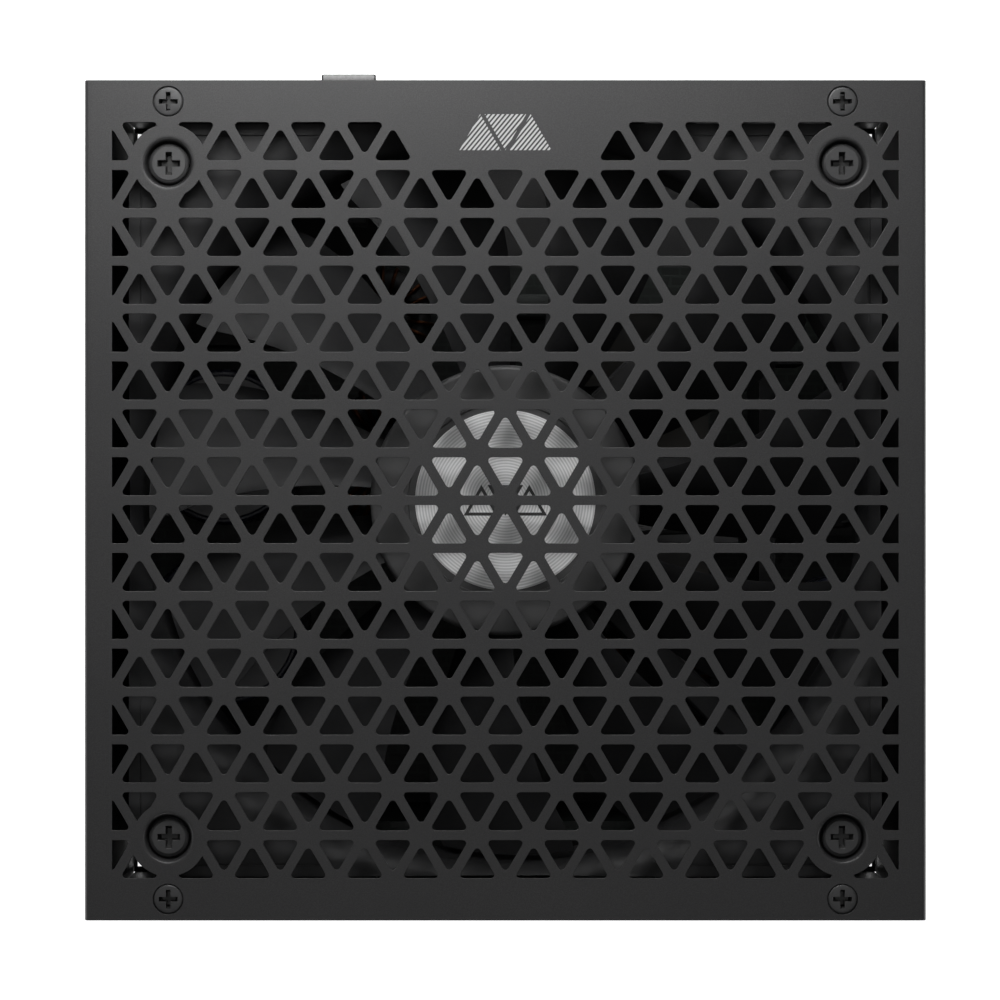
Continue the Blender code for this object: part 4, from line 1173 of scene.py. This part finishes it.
KEEP = {
    "fan_shaft": ("steel", 0.15), "fan_bearing": ("bronze", 0.15),
    "rotor_magnet": ("magnet", 0.15), "fan_stator": ("copper", 0.3),
    "fan_circuit_board": ("board", 0.1), "fan_lead": ("sleeve", 0.0),
    "fan_plug": ("polyester", 0.3), "ac_inlet": ("moulded", 0.45),
    "inlet_pin_line": ("tin", 0.25), "inlet_pin_neutral": ("tin", 0.25),
    "inlet_pin_earth": ("tin", 0.25), "switch_housing": ("moulded", 0.4),
    "main_board": ("board", 0.15), "insulation_sheet": ("polyester", 0.05),
    "output_board": ("board", 0.15), "mains_filter_capacitor": ("film", 0.6),
    "mains_fuse": ("glass", 0.3), "primary_heatsink": ("alu", 0.12),
    "secondary_heatsink": ("alu", 0.12), "bridge_rectifier": ("ferrite", 0.25),
    "transformer_core": ("ferrite", 0.5), "transformer_winding": ("tape", 0.5),
    "standby_transformer": ("tape", 0.4), "control_board": ("board", 0.1),
}
for i in range(1, 5):
    KEEP["board_screw_%d" % i] = ("steel", 0.12)
for node, (mat, w) in KEEP.items():
    ob = NODES[node]
    ob.data.materials.clear()
    ob.data.materials.append(MAT[mat])
    if w:
        rounded(ob, w, 2, 40)


# ===================================================================== stage
def area(name, loc, target, sx, sy, watts, col=(1, 1, 1)):
    li = bpy.data.lights.new(name, "AREA")
    li.shape = "RECTANGLE"
    li.size, li.size_y = sx, sy
    li.energy = watts
    li.color = col
    ob = bpy.data.objects.new(name, li)
    ob.location = loc
    ob.rotation_euler = (Vector(target) - Vector(loc)).to_track_quat("-Z", "Y").to_euler()
    ob.visible_camera = False
    bpy.context.scene.collection.objects.link(ob)
    return ob


bm = bmesh.new()
bmesh.ops.create_grid(bm, x_segments=1, y_segments=1, size=6.0)
me = bpy.data.meshes.new("floor")
bm.to_mesh(me)
bm.free()
floor = bpy.data.objects.new("floor", me)
floor.location.z = CAD_LO.z - 0.0003
bpy.context.scene.collection.objects.link(floor)
fm = bpy.data.materials.new("floor_white")
fm.use_nodes = True
fb = fm.node_tree.nodes["Principled BSDF"]
fb.inputs["Base Color"].default_value = (0.9, 0.9, 0.9, 1)
fb.inputs["Roughness"].default_value = 0.9
fb.inputs["Emission Color"].default_value = (1, 1, 1, 1)
fb.inputs["Emission Strength"].default_value = 1.0
me.materials.append(fm)
floor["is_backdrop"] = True

area("key", (-0.03, 0.24, 0.27), (0, 0.02, 0.08), 0.24, 0.10, 0.85)
area("key_near", (-0.03, 0.145, 0.246), (-0.02, 0.12, 0.08), 0.13, 0.08, 0.17)
area("overhead", (0, 0.05, 1.25), (0, 0, 0.08), 0.7, 0.6, 0.85)
area("left_fill", (-0.7, 0.1, 0.7), (0, 0, 0.08), 0.5, 0.5, 0.35)
# sides and underside: broad and weak, below the fan face's own plane
area("side_west", (-0.75, -0.25, 0.10), (0, 0, 0.04), 0.5, 0.3, 2.2)
area("side_east", (0.75, -0.15, 0.10), (0, 0, 0.04), 0.5, 0.3, 2.2)
area("side_south", (0.05, -0.80, 0.10), (0, 0, 0.04), 0.6, 0.3, 2.4)
area("side_north", (-0.05, 0.80, 0.06), (0, 0, 0.03), 0.6, 0.1, 1.2)

world = bpy.data.worlds.new("studio")
world.use_nodes = True
bg = world.node_tree.nodes["Background"]
bg.inputs["Color"].default_value = (1, 1, 1, 1)
bg.inputs["Strength"].default_value = 0.03
bpy.context.scene.world = world
bpy.context.scene.view_settings.view_transform = "Standard"

cam_data = bpy.data.cameras.new("camera")
cam = bpy.data.objects.new("camera", cam_data)
bpy.context.scene.collection.objects.link(cam)
DIST = 0.70
cam.location = (-0.00096, 0.00005, TOP * MM + DIST)
cam.rotation_euler = (0, 0, 0)
cam_data.sensor_width = 36.0
cam_data.lens = 36.0 * DIST / 0.1782
cam_data.clip_start = 0.01
cam_data.clip_end = 30.0
bpy.context.scene.camera = cam

lo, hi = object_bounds()
